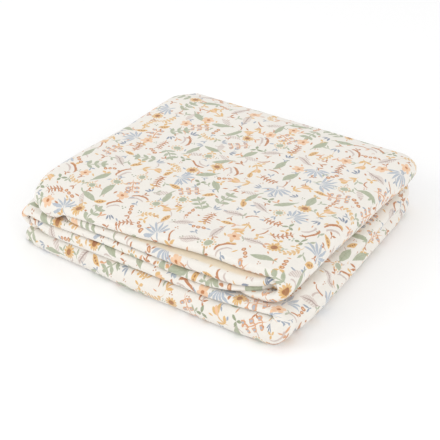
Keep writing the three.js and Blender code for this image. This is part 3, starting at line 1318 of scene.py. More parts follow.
@dataclass
class MotifDrawer:
    """Draws the print's motifs as a mask and a mask of details, about a place in millimetres.

    Args:
        w: the wiring that the motifs are drawn in.
        stamps: the simple shapes.
    """

    w: Wiring
    stamps: Stamps

    def leaf(
        self, place: Input, centre: tuple[float, float], turn: float, length: float, width: float
    ) -> tuple[Socket, Socket]:
        """A leaf and its vein.

        Args:
            place: the place, in millimetres.
            centre: the leaf's middle.
            turn: its turn in degrees.
            length: half its length.
            width: half its width.

        Returns:
            The leaf's mask and its vein's.
        """
        made = self.w.placed(
            self.stamps.leaf,
            Place=place,
            Centre=(*centre, 0.0),
            Turn=math.radians(turn),
            **{"Half Length": length, "Half Width": width},
        )
        return made.outputs["Mask"], made.outputs["Vein"]

    def oval(
        self, place: Input, centre: tuple[float, float], turn: float, radii: tuple[float, float]
    ) -> Socket:
        """An oval.

        Args:
            place: the place, in millimetres.
            centre: the oval's middle.
            turn: its turn in degrees.
            radii: half its width and half its height.

        Returns:
            Its mask.
        """
        made = self.w.placed(
            self.stamps.oval,
            Place=place,
            Centre=(*centre, 0.0),
            Turn=math.radians(turn),
            Radii=(*radii, 1.0),
        )
        return made.outputs["Mask"]

    def rosette(
        self, place: Input, centre: tuple[float, float], sector: float
    ) -> tuple[Socket, Socket]:
        """Places folded into one sector, and the angle before the fold.

        Args:
            place: the place, in millimetres.
            centre: the middle of the ring.
            sector: a sector's angle in degrees.

        Returns:
            The folded place, and the angle in radians.
        """
        made = self.w.placed(
            self.stamps.rosette, Place=place, Centre=(*centre, 0.0), Sector=math.radians(sector)
        )
        return made.outputs["Place"], made.outputs["Angle"]

    def most(self, *masks: Input) -> Input:
        """The union of masks.

        Args:
            masks: the masks.

        Returns:
            The strongest of them at each place.
        """
        total = masks[0]
        for mask in masks[1:]:
            total = self.w.math("MAXIMUM", total, mask)
        return total

    def cut(self, mask: Input, value: Input, limit: float, crisp: float = 4.0) -> Socket:
        """The part of a mask where a value lies between minus and plus a limit."""
        return self.w.math("MULTIPLY", mask, self.w.inside(value, limit, crisp))

    def mirrored(self, place: Input) -> tuple[Socket, Socket, Socket]:
        """The place with its left half laid on its right half, with its X and Y.

        Args:
            place: the place, in millimetres.

        Returns:
            The place, its distance from the middle line and its Y.
        """
        x, y = self.w.parts(place)
        away = self.w.math("ABSOLUTE", x)
        return self.w.joined(away, y), away, y

    def repeated(self, value: Input, pitch: float) -> Socket:
        """The value's distance from the nearest multiple of a pitch."""
        count = self.w.math("ROUND", self.w.math("DIVIDE", value, pitch))
        return self.w.math("SUBTRACT", value, self.w.math("MULTIPLY", count, pitch))

    def paired_sprig(self, place: Input) -> tuple[Input, Input]:
        """A stem with pairs of plump leaves and one at its tip.

        Args:
            place: the place, in millimetres.

        Returns:
            The motif's mask and the mask of its details.
        """
        _, away, y = self.mirrored(place)
        step = self.w.joined(away, self.repeated(self.w.math("ADD", y, 1.0), 8.6))
        leaves, _ = self.leaf(step, (4.4, 1.8), 52, 5.6, 2.3)
        leaves = self.cut(leaves, self.w.math("ADD", y, 1.0), 12.5)
        stem, _ = self.leaf(place, (0, -1), 0, 14, 0.85)
        tip, _ = self.leaf(place, (0, 11.0), 0, 4.6, 2.0)
        return self.most(leaves, stem, tip), 0.0

    def forked_leaves(self, place: Input) -> tuple[Input, Input]:
        """A plain and a hatched leaf that spread from one stem.

        Args:
            place: the place, in millimetres.

        Returns:
            The motif's mask and the mask of its details.
        """
        plain, _ = self.leaf(place, (-5.2, 1.6), -28, 12.6, 3.9)
        hatched, _ = self.leaf(place, (5.6, 1.2), 34, 10.8, 3.4)
        stem, _ = self.leaf(place, (0.4, -11), 0, 4.5, 0.9)
        _, y = self.w.parts(place)
        return self.most(plain, stem), self.striped(hatched, y, 2.4)

    def striped(self, mask: Input, value: Input, rate: float) -> Socket:
        """A mask with soft stripes that thin it.

        Args:
            mask: the mask.
            value: what the stripes follow.
            rate: how close they are.

        Returns:
            The thinned mask.
        """
        wave = self.w.math("SINE", self.w.math("MULTIPLY", value, rate))
        thinned = self.w.math("MULTIPLY_ADD", wave, 0.45, 0.65, held=True)
        return self.w.math("MULTIPLY", mask, thinned)

    def broad_leaf(self, place: Input) -> tuple[Input, Input]:
        """One broad leaf on a short stem.

        Args:
            place: the place, in millimetres.

        Returns:
            The motif's mask and the mask of its details.
        """
        blade, vein = self.leaf(place, (0, 1.5), 0, 13.2, 4.5)
        stem, _ = self.leaf(place, (0, -12), 0, 3.6, 0.8)
        return self.most(blade, stem), self.w.math("MULTIPLY", vein, 0.45)

    def hatched_leaf(self, place: Input) -> tuple[Input, Input]:
        """One broad leaf with slanting hatching.

        Args:
            place: the place, in millimetres.

        Returns:
            The motif's mask and the mask of its details.
        """
        blade, _ = self.leaf(place, (0, 1.5), 0, 12.5, 4.6)
        _, away, y = self.mirrored(place)
        slant = self.w.math("SUBTRACT", y, self.w.math("MULTIPLY", away, 0.8))
        vein, _ = self.leaf(place, (0, -0.5), 0, 14.2, 0.7)
        return self.most(self.striped(blade, slant, 2.6), vein), vein

    def fan(self, place: Input) -> tuple[Input, Input]:
        """Long strokes that fan out from a foot.

        Args:
            place: the place, in millimetres.

        Returns:
            The motif's mask and the mask of its details.
        """
        folded, angle = self.rosette(place, (0, -6.5), 25)
        stroke, _ = self.leaf(folded, (0, 10.8), 0, 8.6, 1.5)
        stroke = self.cut(stroke, angle, 1.52, 20)
        foot, _ = self.leaf(place, (0, -8.5), 0, 5.0, 0.9)
        return self.most(stroke, foot), 0.0

    def comb_sprig(self, place: Input) -> tuple[Input, Input]:
        """A curved stem with slender teeth.

        Args:
            place: the place, in millimetres.

        Returns:
            The motif's mask and the mask of its details.
        """
        bent, bend, y = self.bowed(place, 0.022)
        step = self.w.joined(self.w.math("ABSOLUTE", bend), self.repeated(y, 4.3))
        teeth, _ = self.leaf(step, (3.3, 1.8), 55, 4.0, 1.15)
        teeth = self.cut(teeth, y, 10.7)
        stem, _ = self.leaf(bent, (0, 0), 0, 14, 0.85)
        return self.most(teeth, stem), 0.0

    def wheat(self, place: Input) -> tuple[Input, Input]:
        """A bowed stalk with small grains in pairs.

        Args:
            place: the place, in millimetres.

        Returns:
            The motif's mask and the mask of its details.
        """
        bent, bend, y = self.bowed(place, -0.03)
        along = self.repeated(self.w.math("ADD", y, 1.5), 4.4)
        step = self.w.joined(self.w.math("ABSOLUTE", bend), along)
        grain, _ = self.leaf(step, (2.1, 1.2), 30, 2.7, 1.2)
        grain = self.cut(grain, self.w.math("SUBTRACT", y, 2.6), 10.6)
        stem, _ = self.leaf(bent, (0, -1), 0, 14, 0.6)
        return self.most(grain, stem), 0.0

    def bowed(self, place: Input, bend: float) -> tuple[Socket, Socket, Socket]:
        """The place bent to one side along Y, with its X and Y.

        Args:
            place: the place, in millimetres.
            bend: how fast it bends.

        Returns:
            The place, its X and its Y.
        """
        x, y = self.w.parts(place)
        bent = self.w.math("ADD", x, self.w.math("MULTIPLY", self.w.math("MULTIPLY", y, y), bend))
        return self.w.joined(bent, y), bent, y

    def bud(self, place: Input) -> tuple[Input, Input]:
        """A closed flower on a bent stem with two small leaves.

        Args:
            place: the place, in millimetres.

        Returns:
            The motif's mask and the mask of its details.
        """
        bent, _, _ = self.bowed(place, -0.02)
        folded, _, _ = self.mirrored(bent)
        side = self.oval(folded, (2.5, 7.4), 24, (2.3, 5.0))
        heart = self.oval(bent, (0, 6.6), 0, (1.9, 5.2))
        stem, _ = self.leaf(bent, (0, -3.5), 0, 10, 0.8)
        blades, _ = self.leaf(folded, (3.4, -6), 42, 5.2, 1.6)
        return self.most(side, heart, stem, blades), heart

    def berry_spray(self, place: Input) -> tuple[Input, Input]:
        """Ringed berries in pairs along a stem.

        Args:
            place: the place, in millimetres.

        Returns:
            The motif's mask and the mask of its details.
        """
        _, away, y = self.mirrored(place)
        step = self.w.joined(away, self.repeated(y, 8.8))
        berry = self.oval(step, (5.0, 2.6), 0, (3.0, 3.0))
        stalk, _ = self.leaf(step, (2.1, 0.6), 62, 2.8, 0.7)
        stem, _ = self.leaf(place, (0, -1), 0, 14, 0.75)
        eye = self.oval(step, (5.0, 2.6), 0, (1.5, 1.5))
        fruit = self.cut(self.most(berry, stalk), y, 13.0)
        return self.most(fruit, stem), self.cut(eye, y, 13.0)

    def twin_crescents(self, place: Input) -> tuple[Input, Input]:
        """Two long curved strokes beside each other."""
        second = self.crescent_mask(place, (3.4, -2.5), 9.0)
        return self.crescent_mask(place, (-2.6, 0), 11.0), second

    def crescent_mask(self, place: Input, centre: tuple[float, float], length: float) -> Socket:
        """A curved stroke of a half length.

        Args:
            place: the place, in millimetres.
            centre: the middle of the stroke.
            length: half its length.

        Returns:
            Its mask.
        """
        width = length * 0.46
        whole = self.oval(place, centre, 0, (width, length))
        beside = (centre[0] + length * 0.26, centre[1] + 0.4)
        bite = self.oval(place, beside, 0, (width, length * 1.02))
        return self.w.math("SUBTRACT", whole, bite, held=True)

    def open_flower(self, place: Input) -> tuple[Input, Input]:
        """A ring of narrow petals about a broad eye.

        Args:
            place: the place, in millimetres.

        Returns:
            The motif's mask and the mask of its details.
        """
        folded, _ = self.rosette(place, (0, 0), 30)
        petal = self.oval(folded, (0, 5.6), 0, (1.25, 2.1))
        ring = self.oval(place, (0, 0), 0, (4.7, 4.7))
        eye = self.oval(place, (0, 0), 0, (3.3, 3.3))
        return self.most(petal, ring), eye

    def round_flower(self, place: Input) -> tuple[Input, Input]:
        """Five round petals about a small eye.

        Args:
            place: the place, in millimetres.

        Returns:
            The motif's mask and the mask of its details.
        """
        folded, _ = self.rosette(place, (0, 0), 72)
        petal = self.oval(folded, (0, 4.4), 0, (2.7, 3.1))
        eye = self.oval(place, (0, 0), 0, (2.0, 2.0))
        return self.most(petal, eye), eye

    def tuft(self, place: Input) -> tuple[Input, Input]:
        """Short strokes in a fan.

        Args:
            place: the place, in millimetres.

        Returns:
            The motif's mask and the mask of its details.
        """
        folded, angle = self.rosette(place, (0, -5), 30)
        stroke, _ = self.leaf(folded, (0, 6.3), 0, 4.2, 1.1)
        return self.cut(stroke, angle, 0.8, 20), 0.0

    def pod(self, place: Input) -> tuple[Input, Input]:
        """A plump pod with three seeds.

        Args:
            place: the place, in millimetres.

        Returns:
            The motif's mask and the mask of its details.
        """
        blade, _ = self.leaf(place, (0, 0), 0, 7.8, 3.3)
        x, y = self.w.parts(place)
        step = self.w.joined(x, self.repeated(y, 3.2))
        return blade, self.cut(self.oval(step, (0, 0), 0, (1.1, 1.1)), y, 4.6)

    def dotted_disc(self, place: Input) -> tuple[Input, Input]:
        """A round leaf in a ring of dots.

        Args:
            place: the place, in millimetres.

        Returns:
            The motif's mask and the mask of its details.
        """
        disc = self.oval(place, (0, 0), 0, (4.2, 4.2))
        folded, _ = self.rosette(place, (0, 0), 360 / 11)
        return disc, self.oval(folded, (0, 6.2), 0, (1.0, 1.2))

    def berry_row(self, place: Input) -> tuple[Input, Input]:
        """Three ringed berries in a row.

        Args:
            place: the place, in millimetres.

        Returns:
            The motif's mask and the mask of its details.
        """
        x, y = self.w.parts(place)
        step = self.w.joined(self.repeated(x, 5.6), y)
        berry, eye = (self.oval(step, (0, 0), 0, (radius, radius)) for radius in (2.4, 1.1))
        return self.cut(berry, x, 8.3), self.cut(eye, x, 8.3)

    def trefoil(self, place: Input) -> tuple[Input, Input]:
        """Three small leaves.

        Args:
            place: the place, in millimetres.

        Returns:
            The motif's mask and the mask of its details.
        """
        folded, _ = self.rosette(place, (0, 0), 120)
        blade, _ = self.leaf(folded, (0, 4.0), 0, 3.8, 1.9)
        return blade, 0.0

    def crescent(self, place: Input) -> tuple[Input, Input]:
        """A short curved stroke."""
        return self.crescent_mask(place, (-0.8, 0), 7.0), 0.0

    def three_dots(self, place: Input) -> tuple[Input, Input]:
        """Three tiny dots."""
        folded, _ = self.rosette(place, (0, 0), 120)
        return self.oval(folded, (0, 1.9), 0, (0.85, 0.85)), 0.0

    def dot(self, place: Input) -> tuple[Input, Input]:
        """A dot."""
        return self.oval(place, (0, 0), 0, (1.6, 1.3)), 0.0

    def fleck(self, place: Input) -> tuple[Input, Input]:
        """A short fleck."""
        return self.leaf(place, (0, 0), 0, 3.2, 1.05)[0], 0.0

    def sprout(self, place: Input) -> tuple[Input, Input]:
        """Two small leaves on a short stem.

        Args:
            place: the place, in millimetres.

        Returns:
            The motif's mask and the mask of its details.
        """
        folded, _, _ = self.mirrored(place)
        blade, _ = self.leaf(folded, (2.3, 1.8), 38, 3.6, 1.25)
        stem, _ = self.leaf(place, (0, -2.6), 0, 3.2, 0.6)
        return self.most(blade, stem), 0.0


Drawing = Callable[[MotifDrawer, Input], tuple[Input, Input]]


@dataclass(frozen=True)
class Scatter:
    """Motifs scattered over the cloth, one in each cell of a slanting lattice.

    Args:
        name: the scatter's name.
        pitch: the size of a cell in millimetres.
        slant: the lattice's angle in degrees.
        shift: the lattice's offset in cells.
        jitter: how far a motif strays from the middle of its cell, in millimetres.
        size: the size of a motif, as a share of its drawn size.
        motifs: each motif with its inks, chosen evenly.
        seed: a number that sets this scatter's choices apart.
        fill: the share of cells that hold a motif.
    """

    name: str
    pitch: float
    slant: float
    shift: tuple[float, float]
    jitter: float
    motifs: Sequence[tuple[Drawing, Inks]]
    seed: float
    size: float = 0.96
    fill: float = 1.0

    def build(self, stamps: Stamps) -> bpy.types.NodeTree:
        """Makes the scatter's group, which lays its motifs over a ground colour.

        Args:
            stamps: the simple shapes.

        Returns:
            The group: it takes Place in millimetres, Ground and Strength, and gives Colour.
        """
        maker = GroupMaker(
            self.name, {"Place": VECTOR, "Ground": COLOUR, "Strength": FLOAT}, {"Color": COLOUR}
        )
        w = maker.wiring
        flat = w.joined(*w.parts(maker.input("Place")))
        lattice = w.scaled(w.turned(flat, math.radians(self.slant)), 1 / self.pitch)
        lattice = w.vector("ADD", lattice, (*self.shift, 0.0))
        cell = w.vector("FLOOR", lattice)
        middle = w.vector("SUBTRACT", w.vector("SUBTRACT", lattice, cell), (0.5, 0.5, 0.0))
        first, second = (self.chance(w, cell, self.seed + more) for more in (0, 7))
        stray = w.scaled(w.centred(first.outputs["Color"]), 2 * self.jitter)
        place = w.joined(*w.parts(w.vector("SUBTRACT", w.scaled(middle, self.pitch), stray)))
        turn = w.math("MULTIPLY", second.outputs["Value"], 2 * math.pi)
        local = w.scaled(w.turned(place, turn), 1 / self.size)
        count = len(self.motifs) / self.fill
        pick = w.math("FLOOR", w.math("MULTIPLY", first.outputs["Value"], count))
        drawer = MotifDrawer(w, stamps)
        colour: Input = maker.input("Ground")
        for number, (draw, inks) in enumerate(self.motifs):
            mask, detail = draw(drawer, local)
            chosen = w.math("COMPARE", pick, float(number), 0.4)
            chosen = w.math("MULTIPLY", chosen, maker.input("Strength"))
            colour = w.mixed(w.math("MULTIPLY", mask, chosen), colour, inks.main.value)
            if isinstance(detail, bpy.types.NodeSocket):
                colour = w.mixed(w.math("MULTIPLY", detail, chosen), colour, inks.accent.value)
        return maker.finish(Color=colour)

    @staticmethod
    def chance(w: Wiring, cell: Socket, seed: float) -> bpy.types.Node:
        """Numbers by chance, which are the same all over a cell."""
        middle = w.vector("ADD", cell, (0.5, 0.5, seed))
        return w.fed("ShaderNodeTexWhiteNoise", {"Vector": middle}, noise_dimensions="3D")



PITCH = 28.5
SLANT = 38.0
SPRIGS = Scatter(
    "print_sprigs",
    pitch=PITCH,
    slant=SLANT,
    shift=(0.0, 0.0),
    jitter=0.8,
    motifs=(
        (MotifDrawer.paired_sprig, Inks(Dye.SAGE, Dye.GROUND)),
        (MotifDrawer.fan, Inks(Dye.SKY, Dye.SKY)),
        (MotifDrawer.forked_leaves, Inks(Dye.SAGE, Dye.MAUVE)),
        (MotifDrawer.comb_sprig, Inks(Dye.RUST, Dye.RUST)),
        (MotifDrawer.hatched_leaf, Inks(Dye.MAUVE, Dye.TAUPE)),
        (MotifDrawer.bud, Inks(Dye.OCHRE, Dye.PEACH)),
        (MotifDrawer.broad_leaf, Inks(Dye.SAGE, Dye.MOSS)),
        (MotifDrawer.wheat, Inks(Dye.OCHRE, Dye.OCHRE)),
        (MotifDrawer.berry_spray, Inks(Dye.CLAY, Dye.SKY)),
        (MotifDrawer.twin_crescents, Inks(Dye.RUST, Dye.MAUVE)),
    ),
    seed=3.0,
)
BLOOMS = Scatter(
    "print_blooms",
    pitch=PITCH,
    slant=SLANT,
    shift=(0.5, 0.5),
    jitter=0.8,
    motifs=(
        (MotifDrawer.open_flower, Inks(Dye.OCHRE, Dye.BROWN)),
        (MotifDrawer.tuft, Inks(Dye.NAVY, Dye.NAVY)),
        (MotifDrawer.pod, Inks(Dye.OCHRE, Dye.BROWN)),
        (MotifDrawer.dotted_disc, Inks(Dye.SAGE, Dye.OCHRE)),
        (MotifDrawer.trefoil, Inks(Dye.MOSS, Dye.MOSS)),
        (MotifDrawer.sprout, Inks(Dye.RUST, Dye.RUST)),
        (MotifDrawer.crescent, Inks(Dye.RUST, Dye.RUST)),
        (MotifDrawer.berry_row, Inks(Dye.RUST, Dye.PEACH)),
        (MotifDrawer.round_flower, Inks(Dye.PEACH, Dye.RUST)),
        (MotifDrawer.tuft, Inks(Dye.SLATE, Dye.SLATE)),
    ),
    seed=11.0,
)
FLECKS = Scatter(
    "print_flecks",
    pitch=PITCH / math.sqrt(2),
    slant=SLANT + 45,
    shift=(0.0, 0.5),
    jitter=0.5,
    motifs=(
        (MotifDrawer.dot, Inks(Dye.RUST, Dye.RUST)),
        (MotifDrawer.fleck, Inks(Dye.SLATE, Dye.SLATE)),
        (MotifDrawer.three_dots, Inks(Dye.MOSS, Dye.MOSS)),
        (MotifDrawer.fleck, Inks(Dye.RUST, Dye.RUST)),
        (MotifDrawer.sprout, Inks(Dye.CLAY, Dye.CLAY)),
        (MotifDrawer.fleck, Inks(Dye.OCHRE, Dye.OCHRE)),
        (MotifDrawer.sprout, Inks(Dye.SAGE, Dye.SAGE)),
    ),
    seed=19.0,
    fill=0.95,
)
STRAYS = Scatter(
    "print_strays",
    pitch=PITCH / math.sqrt(2),
    slant=SLANT + 45,
    shift=(0.5, 0.0),
    jitter=0.5,
    motifs=(
        (MotifDrawer.sprout, Inks(Dye.RUST, Dye.RUST)),
        (MotifDrawer.fleck, Inks(Dye.CLAY, Dye.CLAY)),
        (MotifDrawer.sprout, Inks(Dye.SLATE, Dye.SLATE)),
        (MotifDrawer.trefoil, Inks(Dye.OCHRE, Dye.OCHRE)),
        (MotifDrawer.crescent, Inks(Dye.MAUVE, Dye.MAUVE)),
        (MotifDrawer.three_dots, Inks(Dye.RUST, Dye.RUST)),
    ),
    seed=29.0,
    size=0.8,
    fill=0.9,
)


@dataclass(frozen=True)
class FleeceFinish:
    """Soft short-pile fleece with a scattered leaf and flower print.

    The print's places are in millimetres on the flat cloth. A scale is the number of bumps to a
    millimetre for what carries the print, and to a metre for the rest.
    """

    roughness: float = 0.95
    specular: float = 0.15
    sheen: float = 0.25
    sheen_roughness: float = 0.6
    wobble: float = 3.2  # how far the print's lines wander
    wobble_scale: float = 0.055
    fray: float = 0.42  # how far single fibres carry its edges
    fray_scale: float = 0.85
    pile_scale: float = 620.0  # the short pile
    pill_scale: float = 190.0  # its small tufts
    mottle_scale: float = 330.0  # the pale flecks in the print
    cloud_scale: float = 14.0  # broad, faint changes of the ground colour
    clouds: float = 0.12
    print_strength: float = 0.49  # with no pile on top of it
    pile_wear: float = 0.3
    mottle_wear: float = 0.6
    darkest: float = 0.95  # between the fibres of the pile
    pile_light: float = 0.1
    pile_height: float = 0.5
    pill_height: float = 0.9
    bump: float = 0.35
    bump_distance: float = 0.0012

    def material(self) -> bpy.types.Material:
        """Makes the fleece's material.

        Returns:
            The material, which follows the flat-cloth map.
        """
        made = bpy.data.materials.new("printed_fleece")
        made.use_nodes = True
        w = Wiring(made.node_tree)
        shader = made.node_tree.nodes["Principled BSDF"]
        shader.inputs["Roughness"].default_value = self.roughness
        shader.inputs["Specular IOR Level"].default_value = self.specular
        shader.inputs["Sheen Weight"].default_value = self.sheen
        shader.inputs["Sheen Roughness"].default_value = self.sheen_roughness
        solid = w.node("ShaderNodeTexCoord").outputs["Object"]
        pile = w.noise(solid, self.pile_scale, 3.0, 0.65).outputs["Fac"]
        pills = w.noise(solid, self.pill_scale).outputs["Fac"]
        shade = w.math("MULTIPLY_ADD", pile, self.pile_light, self.darkest)
        w.feed(shader.inputs["Base Color"], w.scaled(self.colour(w, solid, pile), shade))
        pills_height = w.math("MULTIPLY", pills, self.pill_height)
        height = w.math("MULTIPLY_ADD", pile, self.pile_height, pills_height)
        inputs = {"Height": height, "Strength": self.bump, "Distance": self.bump_distance}
        w.feed(shader.inputs["Normal"], w.fed("ShaderNodeBump", inputs).outputs["Normal"])
        return made

    def colour(self, w: Wiring, solid: Socket, pile: Socket) -> Socket:
        """The ground with its print, which the mottled pile thins, under the plain tan painted
        shade in the trough.

        Args:
            w: the material's wiring.
            solid: the place on the folded blanket, in metres.
            pile: the height of the pile.

        Returns:
            The colour.
        """
        trough_shade = w.node("ShaderNodeAttribute", attribute_name=TROUGH_SHADE_SHARE).outputs["Fac"]
        clouds = w.noise(solid, self.cloud_scale).outputs["Fac"]
        clouds = w.math("MULTIPLY", clouds, self.clouds)
        ground = w.mixed(clouds, Dye.GROUND.value, Dye.SHADE_AND_CLOUD_TAN.value)
        # the trough's painted warm shade: plain tan over the ground, with no print
        colour = w.mixed(trough_shade, ground, Dye.SHADE_AND_CLOUD_TAN.value)
        mottle = w.noise(solid, self.mottle_scale, 3.0, 0.6).outputs["Fac"]
        worn = w.math("MULTIPLY_ADD", pile, self.pile_wear, self.print_strength)
        worn = w.math("MULTIPLY_ADD", mottle, self.mottle_wear, worn, held=True)
        strength = w.math("MULTIPLY", worn, w.math("SUBTRACT", 1.0, trough_shade))
        place = self.print_place(w)
        stamps = Stamps()
        for scatter in (STRAYS, FLECKS, SPRIGS, BLOOMS):
            group = scatter.build(stamps)
            laid = w.placed(group, Place=place, Ground=colour, Strength=strength)
            colour = laid.outputs["Color"]
        return colour

    def print_place(self, w: Wiring) -> Socket:
        """The place on the flat cloth in millimetres, as the fibres carry the print.

        Args:
            w: the material's wiring.

        Returns:
            The place.
        """
        flat = w.node("ShaderNodeUVMap", uv_map=FLAT_MAP).outputs["UV"]
        place = w.scaled(flat, 1 / MM)
        ragged = w.noise(place, self.wobble_scale, 3.0).outputs["Color"]
        place = w.vector("ADD", place, w.scaled(w.centred(ragged), 2 * self.wobble))
        fibres = w.noise(place, self.fray_scale, 2.0, 0.6).outputs["Color"]
        return w.vector("ADD", place, w.scaled(w.centred(fibres), 2 * self.fray))


def add_object(name: str, data: bpy.types.ID) -> bpy.types.Object:
    """Adds a mesh, a lamp or a camera to the scene, as an object.

    Args:
        name: the object's name.
        data: the mesh, lamp or camera.

    Returns:
        The object.
    """
    made = bpy.data.objects.new(name, data)
    bpy.context.scene.collection.objects.link(made)
    return made


def add_mesh(name: str, bm: bmesh.types.BMesh) -> bpy.types.Object:
    """Adds a finished bmesh to the scene.

    Args:
        name: the name of the object and its mesh.
        bm: the bmesh, which is freed.

    Returns:
        The object.
    """
    mesh = bpy.data.meshes.new(name)
    bm.to_mesh(mesh)
    bm.free()
    return add_object(name, mesh)


def stand(thing: bpy.types.Object, place: Sequence[float], aim: Sequence[float]) -> None:
    """Stands a lamp or the camera at a place, where it faces another one."""
    thing.location = place
    thing.rotation_euler = (Vector(aim) - thing.location).to_track_quat("-Z", "Y").to_euler()


@dataclass
class BlanketCloth:
    """The one cloth of the blanket: folded, given its thickness and stitched hem, and dressed.

    The hem's sizes are in metres, and its swell and stitch depth are shares of the thickness.
    """

    bundle: Bundle = field(default_factory=Bundle)
    finish: FleeceFinish = field(default_factory=FleeceFinish)
    flat_size: tuple[float, float] = (1.10, 1.40)
    hem_width: float = 0.014
    hem_swell: float = 0.16
    hem_slope: float = 0.002  # over which the swell ends
    stitch_depth: float = 0.2
    stitch_width: float = 0.0012
    edge_round: float = 0.0022  # over which the free edge is rounded off
    edge_wall: float = 0.0003  # what keeps the edge from going to nothing
    relax_rounds: int = 2

    def build(self) -> bpy.types.Object:
        """Folds the flat grid into the bundle and gives it its thickness.

        Returns:
            The cloth's object, with its flat-cloth map and its bake map.
        """
        grid = ClothGrid(self.bundle)
        rows, columns = len(grid.places), len(grid.places[0])
        bm = bmesh.new()
        bmesh.ops.create_grid(bm, x_segments=columns - 1, y_segments=rows - 1, size=0.5)
        # carries the painted trough shade to the shader
        trough_shade = bm.verts.layers.float.new(TROUGH_SHADE_SHARE)
        edge = bm.verts.layers.float.new("edge")
        flat = bm.verts.layers.float_vector.new("flat")
        spot = bm.verts.layers.float_vector.new("spot")
        for vert in bm.verts:
            i = round((vert.co.y + 0.5) * (rows - 1))
            j = round((vert.co.x + 0.5) * (columns - 1))
            vert.co = grid.places[i][j]
            vert[trough_shade] = grid.trough_shade[i][j]
            vert[edge] = max(0.0, grid.edge[i][j])
            vert[flat] = (*grid.flat[i][j], 0)
            vert[spot] = (*grid.map_place[i][j], 0)
        self.relax(bm)
        self.lay_map(bm, FLAT_MAP, flat)
        self.lay_map(bm, BAKE_MAP, spot)
        for face in bm.faces:
            face.smooth = True
        distance = [vert[edge] for vert in bm.verts]
        cloth = add_mesh(PIECE, bm)
        cloth.data.materials.append(self.finish.material())
        self.thicken(cloth, distance)
        return cloth

    def relax(self, bm: bmesh.types.BMesh) -> None:
        """Smooths the bends where the lips swell and recede, leaving the hems in place.

        Args:
            bm: the sheet.
        """
        inner = [vert for vert in bm.verts if not vert.is_boundary]
        axes = {"use_axis_x": True, "use_axis_y": True, "use_axis_z": True}
        for _ in range(self.relax_rounds):
            bmesh.ops.smooth_vert(bm, verts=inner, factor=0.5, **axes)

    @staticmethod
    def lay_map(bm: bmesh.types.BMesh, name: str, source: bmesh.types.BMLayerItem) -> None:
        """Writes a map from each vertex's place on it.

        Args:
            bm: the sheet.
            name: the map's name.
            source: the layer that holds the places.
        """
        layer = bm.loops.layers.uv.new(name)
        for face in bm.faces:
            for loop in face.loops:
                loop[layer].uv = loop.vert[source].xy

    def profile(self, edge: float) -> float:
        """The cloth's thickness at a distance from its free edge, as a share of the usual one.

        Args:
            edge: the distance, in metres.

        Returns:
            The share.
        """
        inside = min(1.0, (edge + self.edge_wall) / self.edge_round)
        bead = math.sqrt(1 - (1 - inside) ** 2)
        hem = 1 + self.hem_swell * ease((self.hem_width - edge) / self.hem_slope)
        from_stitch = (edge - self.hem_width) / self.stitch_width
        return bead * hem * (1 - self.stitch_depth * math.exp(-(from_stitch**2)))

    def thicken(self, cloth: bpy.types.Object, distance: Sequence[float]) -> None:
        """Gives the sheet its two sides, thinner round its edges and fuller at its hem.

        Args:
            cloth: the sheet.
            distance: each vertex's distance from a free edge, in metres.
        """
        group = cloth.vertex_groups.new(name=THICKNESS_GROUP)
        fullest = 1 + self.hem_swell
        for index, edge in enumerate(distance):
            group.add([index], self.profile(edge) / fullest, "REPLACE")
        solid = cloth.modifiers.new("two_sides", "SOLIDIFY")
        solid.thickness = self.bundle.sheet * MM * fullest
        solid.offset = 0.0
        solid.vertex_group = THICKNESS_GROUP
        solid.use_rim = True
        solid.use_even_offset = False

    def declare(self, cloth: bpy.types.Object) -> None:
        """Hangs the cloth under the root body and hides the CAD part that it stands in for.

        Args:
            cloth: the cloth.
        """
        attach(cloth, "root")
        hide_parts("blanket_cloth")


@dataclass
class SoftLamp:
    """A large soft lamp that faces the blanket.

    Args:
        name: the lamp's name.
        place: where it stands, in metres.
        size: its width in metres.
        power: its power in watts.
        aim: the place it faces.
    """

    name: str
    place: tuple[float, float, float]
    size: float
    power: float
    aim: tuple[float, float, float] = (0, 0, 0.03)

    def build(self) -> None:
        """Hangs the lamp."""
        data = bpy.data.lights.new(self.name, "AREA")
        data.size = self.size
        data.energy = self.power
        stand(add_object(self.name, data), self.place, self.aim)


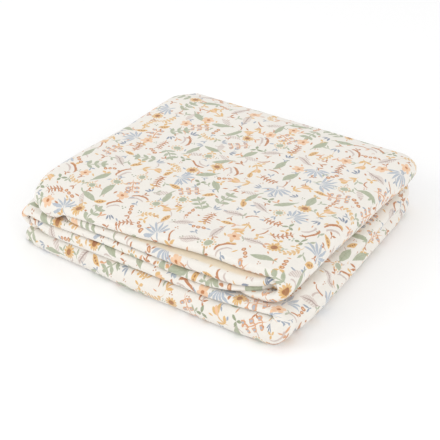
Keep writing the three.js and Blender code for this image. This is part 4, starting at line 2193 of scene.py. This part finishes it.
@dataclass
class Studio:
    """The plain pale floor, the soft light and the camera."""

    floor_size: float = 8.0
    floor_drop: float = 0.0004
    floor_white: int = 252
    floor_roughness: float = 0.9
    floor_specular: float = 0.1
    sky: float = 0.86
    eye: tuple[float, float, float] = (0.5138, -0.8017, 0.6364)
    aim: tuple[float, float, float] = (0.0151, -0.0309, 0.0288)
    lens: float = 81.8
    sensor: float = 36.0
    lamps: Sequence[SoftLamp] = (
        SoftLamp("key_lamp", (-1.5, -1.6, 1.2), 1.5, 14.0),
        SoftLamp("top_lamp", (0.0, 0.2, 2.4), 2.4, 5.0),
        SoftLamp("side_lamp", (1.9, -0.7, 0.9), 1.6, 9.0),
    )

    def build(self) -> None:
        """Sets up the floor, the light and the camera."""
        self.lay_floor()
        self.light()
        for lamp in self.lamps:
            lamp.build()
        self.set_camera()

    def lay_floor(self) -> None:
        """Lays the floor just under the blanket."""
        bm = bmesh.new()
        bmesh.ops.create_grid(bm, x_segments=1, y_segments=1, size=self.floor_size / 2)
        bmesh.ops.translate(bm, verts=bm.verts[:], vec=(0, 0, -self.floor_drop))
        floor = add_mesh("floor", bm)
        made = bpy.data.materials.new("floor_paper")
        made.use_nodes = True
        shader = made.node_tree.nodes["Principled BSDF"]
        shader.inputs["Base Color"].default_value = paint(*[self.floor_white] * 3)
        shader.inputs["Roughness"].default_value = self.floor_roughness
        shader.inputs["Specular IOR Level"].default_value = self.floor_specular
        floor.data.materials.append(made)

    def light(self) -> None:
        """Sets the even white surroundings."""
        world = bpy.data.worlds.new("studio")
        world.use_nodes = True
        background = world.node_tree.nodes["Background"]
        background.inputs["Color"].default_value = (1.0, 1.0, 1.0, 1.0)
        background.inputs["Strength"].default_value = self.sky
        scene = bpy.context.scene
        scene.world = world
        scene.view_settings.view_transform = "Standard"
        scene.view_settings.look = "None"

    def set_camera(self) -> None:
        """Sets the camera at the blanket's front right."""
        data = bpy.data.cameras.new("camera")
        data.lens = self.lens
        data.sensor_width = self.sensor
        data.sensor_fit = "HORIZONTAL"
        camera = add_object("camera", data)
        stand(camera, self.eye, self.aim)
        bpy.context.scene.camera = camera


def write_sizes() -> None:
    """Brings the scene's placements up to date."""
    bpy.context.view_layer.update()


def main() -> None:
    """Builds the blanket and its setting."""
    blanket = BlanketCloth()
    cloth = blanket.build()
    blanket.declare(cloth)
    log.info("%s: %d faces in the sheet", cloth.name, len(cloth.data.polygons))
    Studio().build()
    log.info("floor, lamps and camera are in place")
    write_sizes()


if __name__ == "__main__":
    logging.basicConfig(level=logging.INFO, format="%(name)s: %(message)s")
    main()
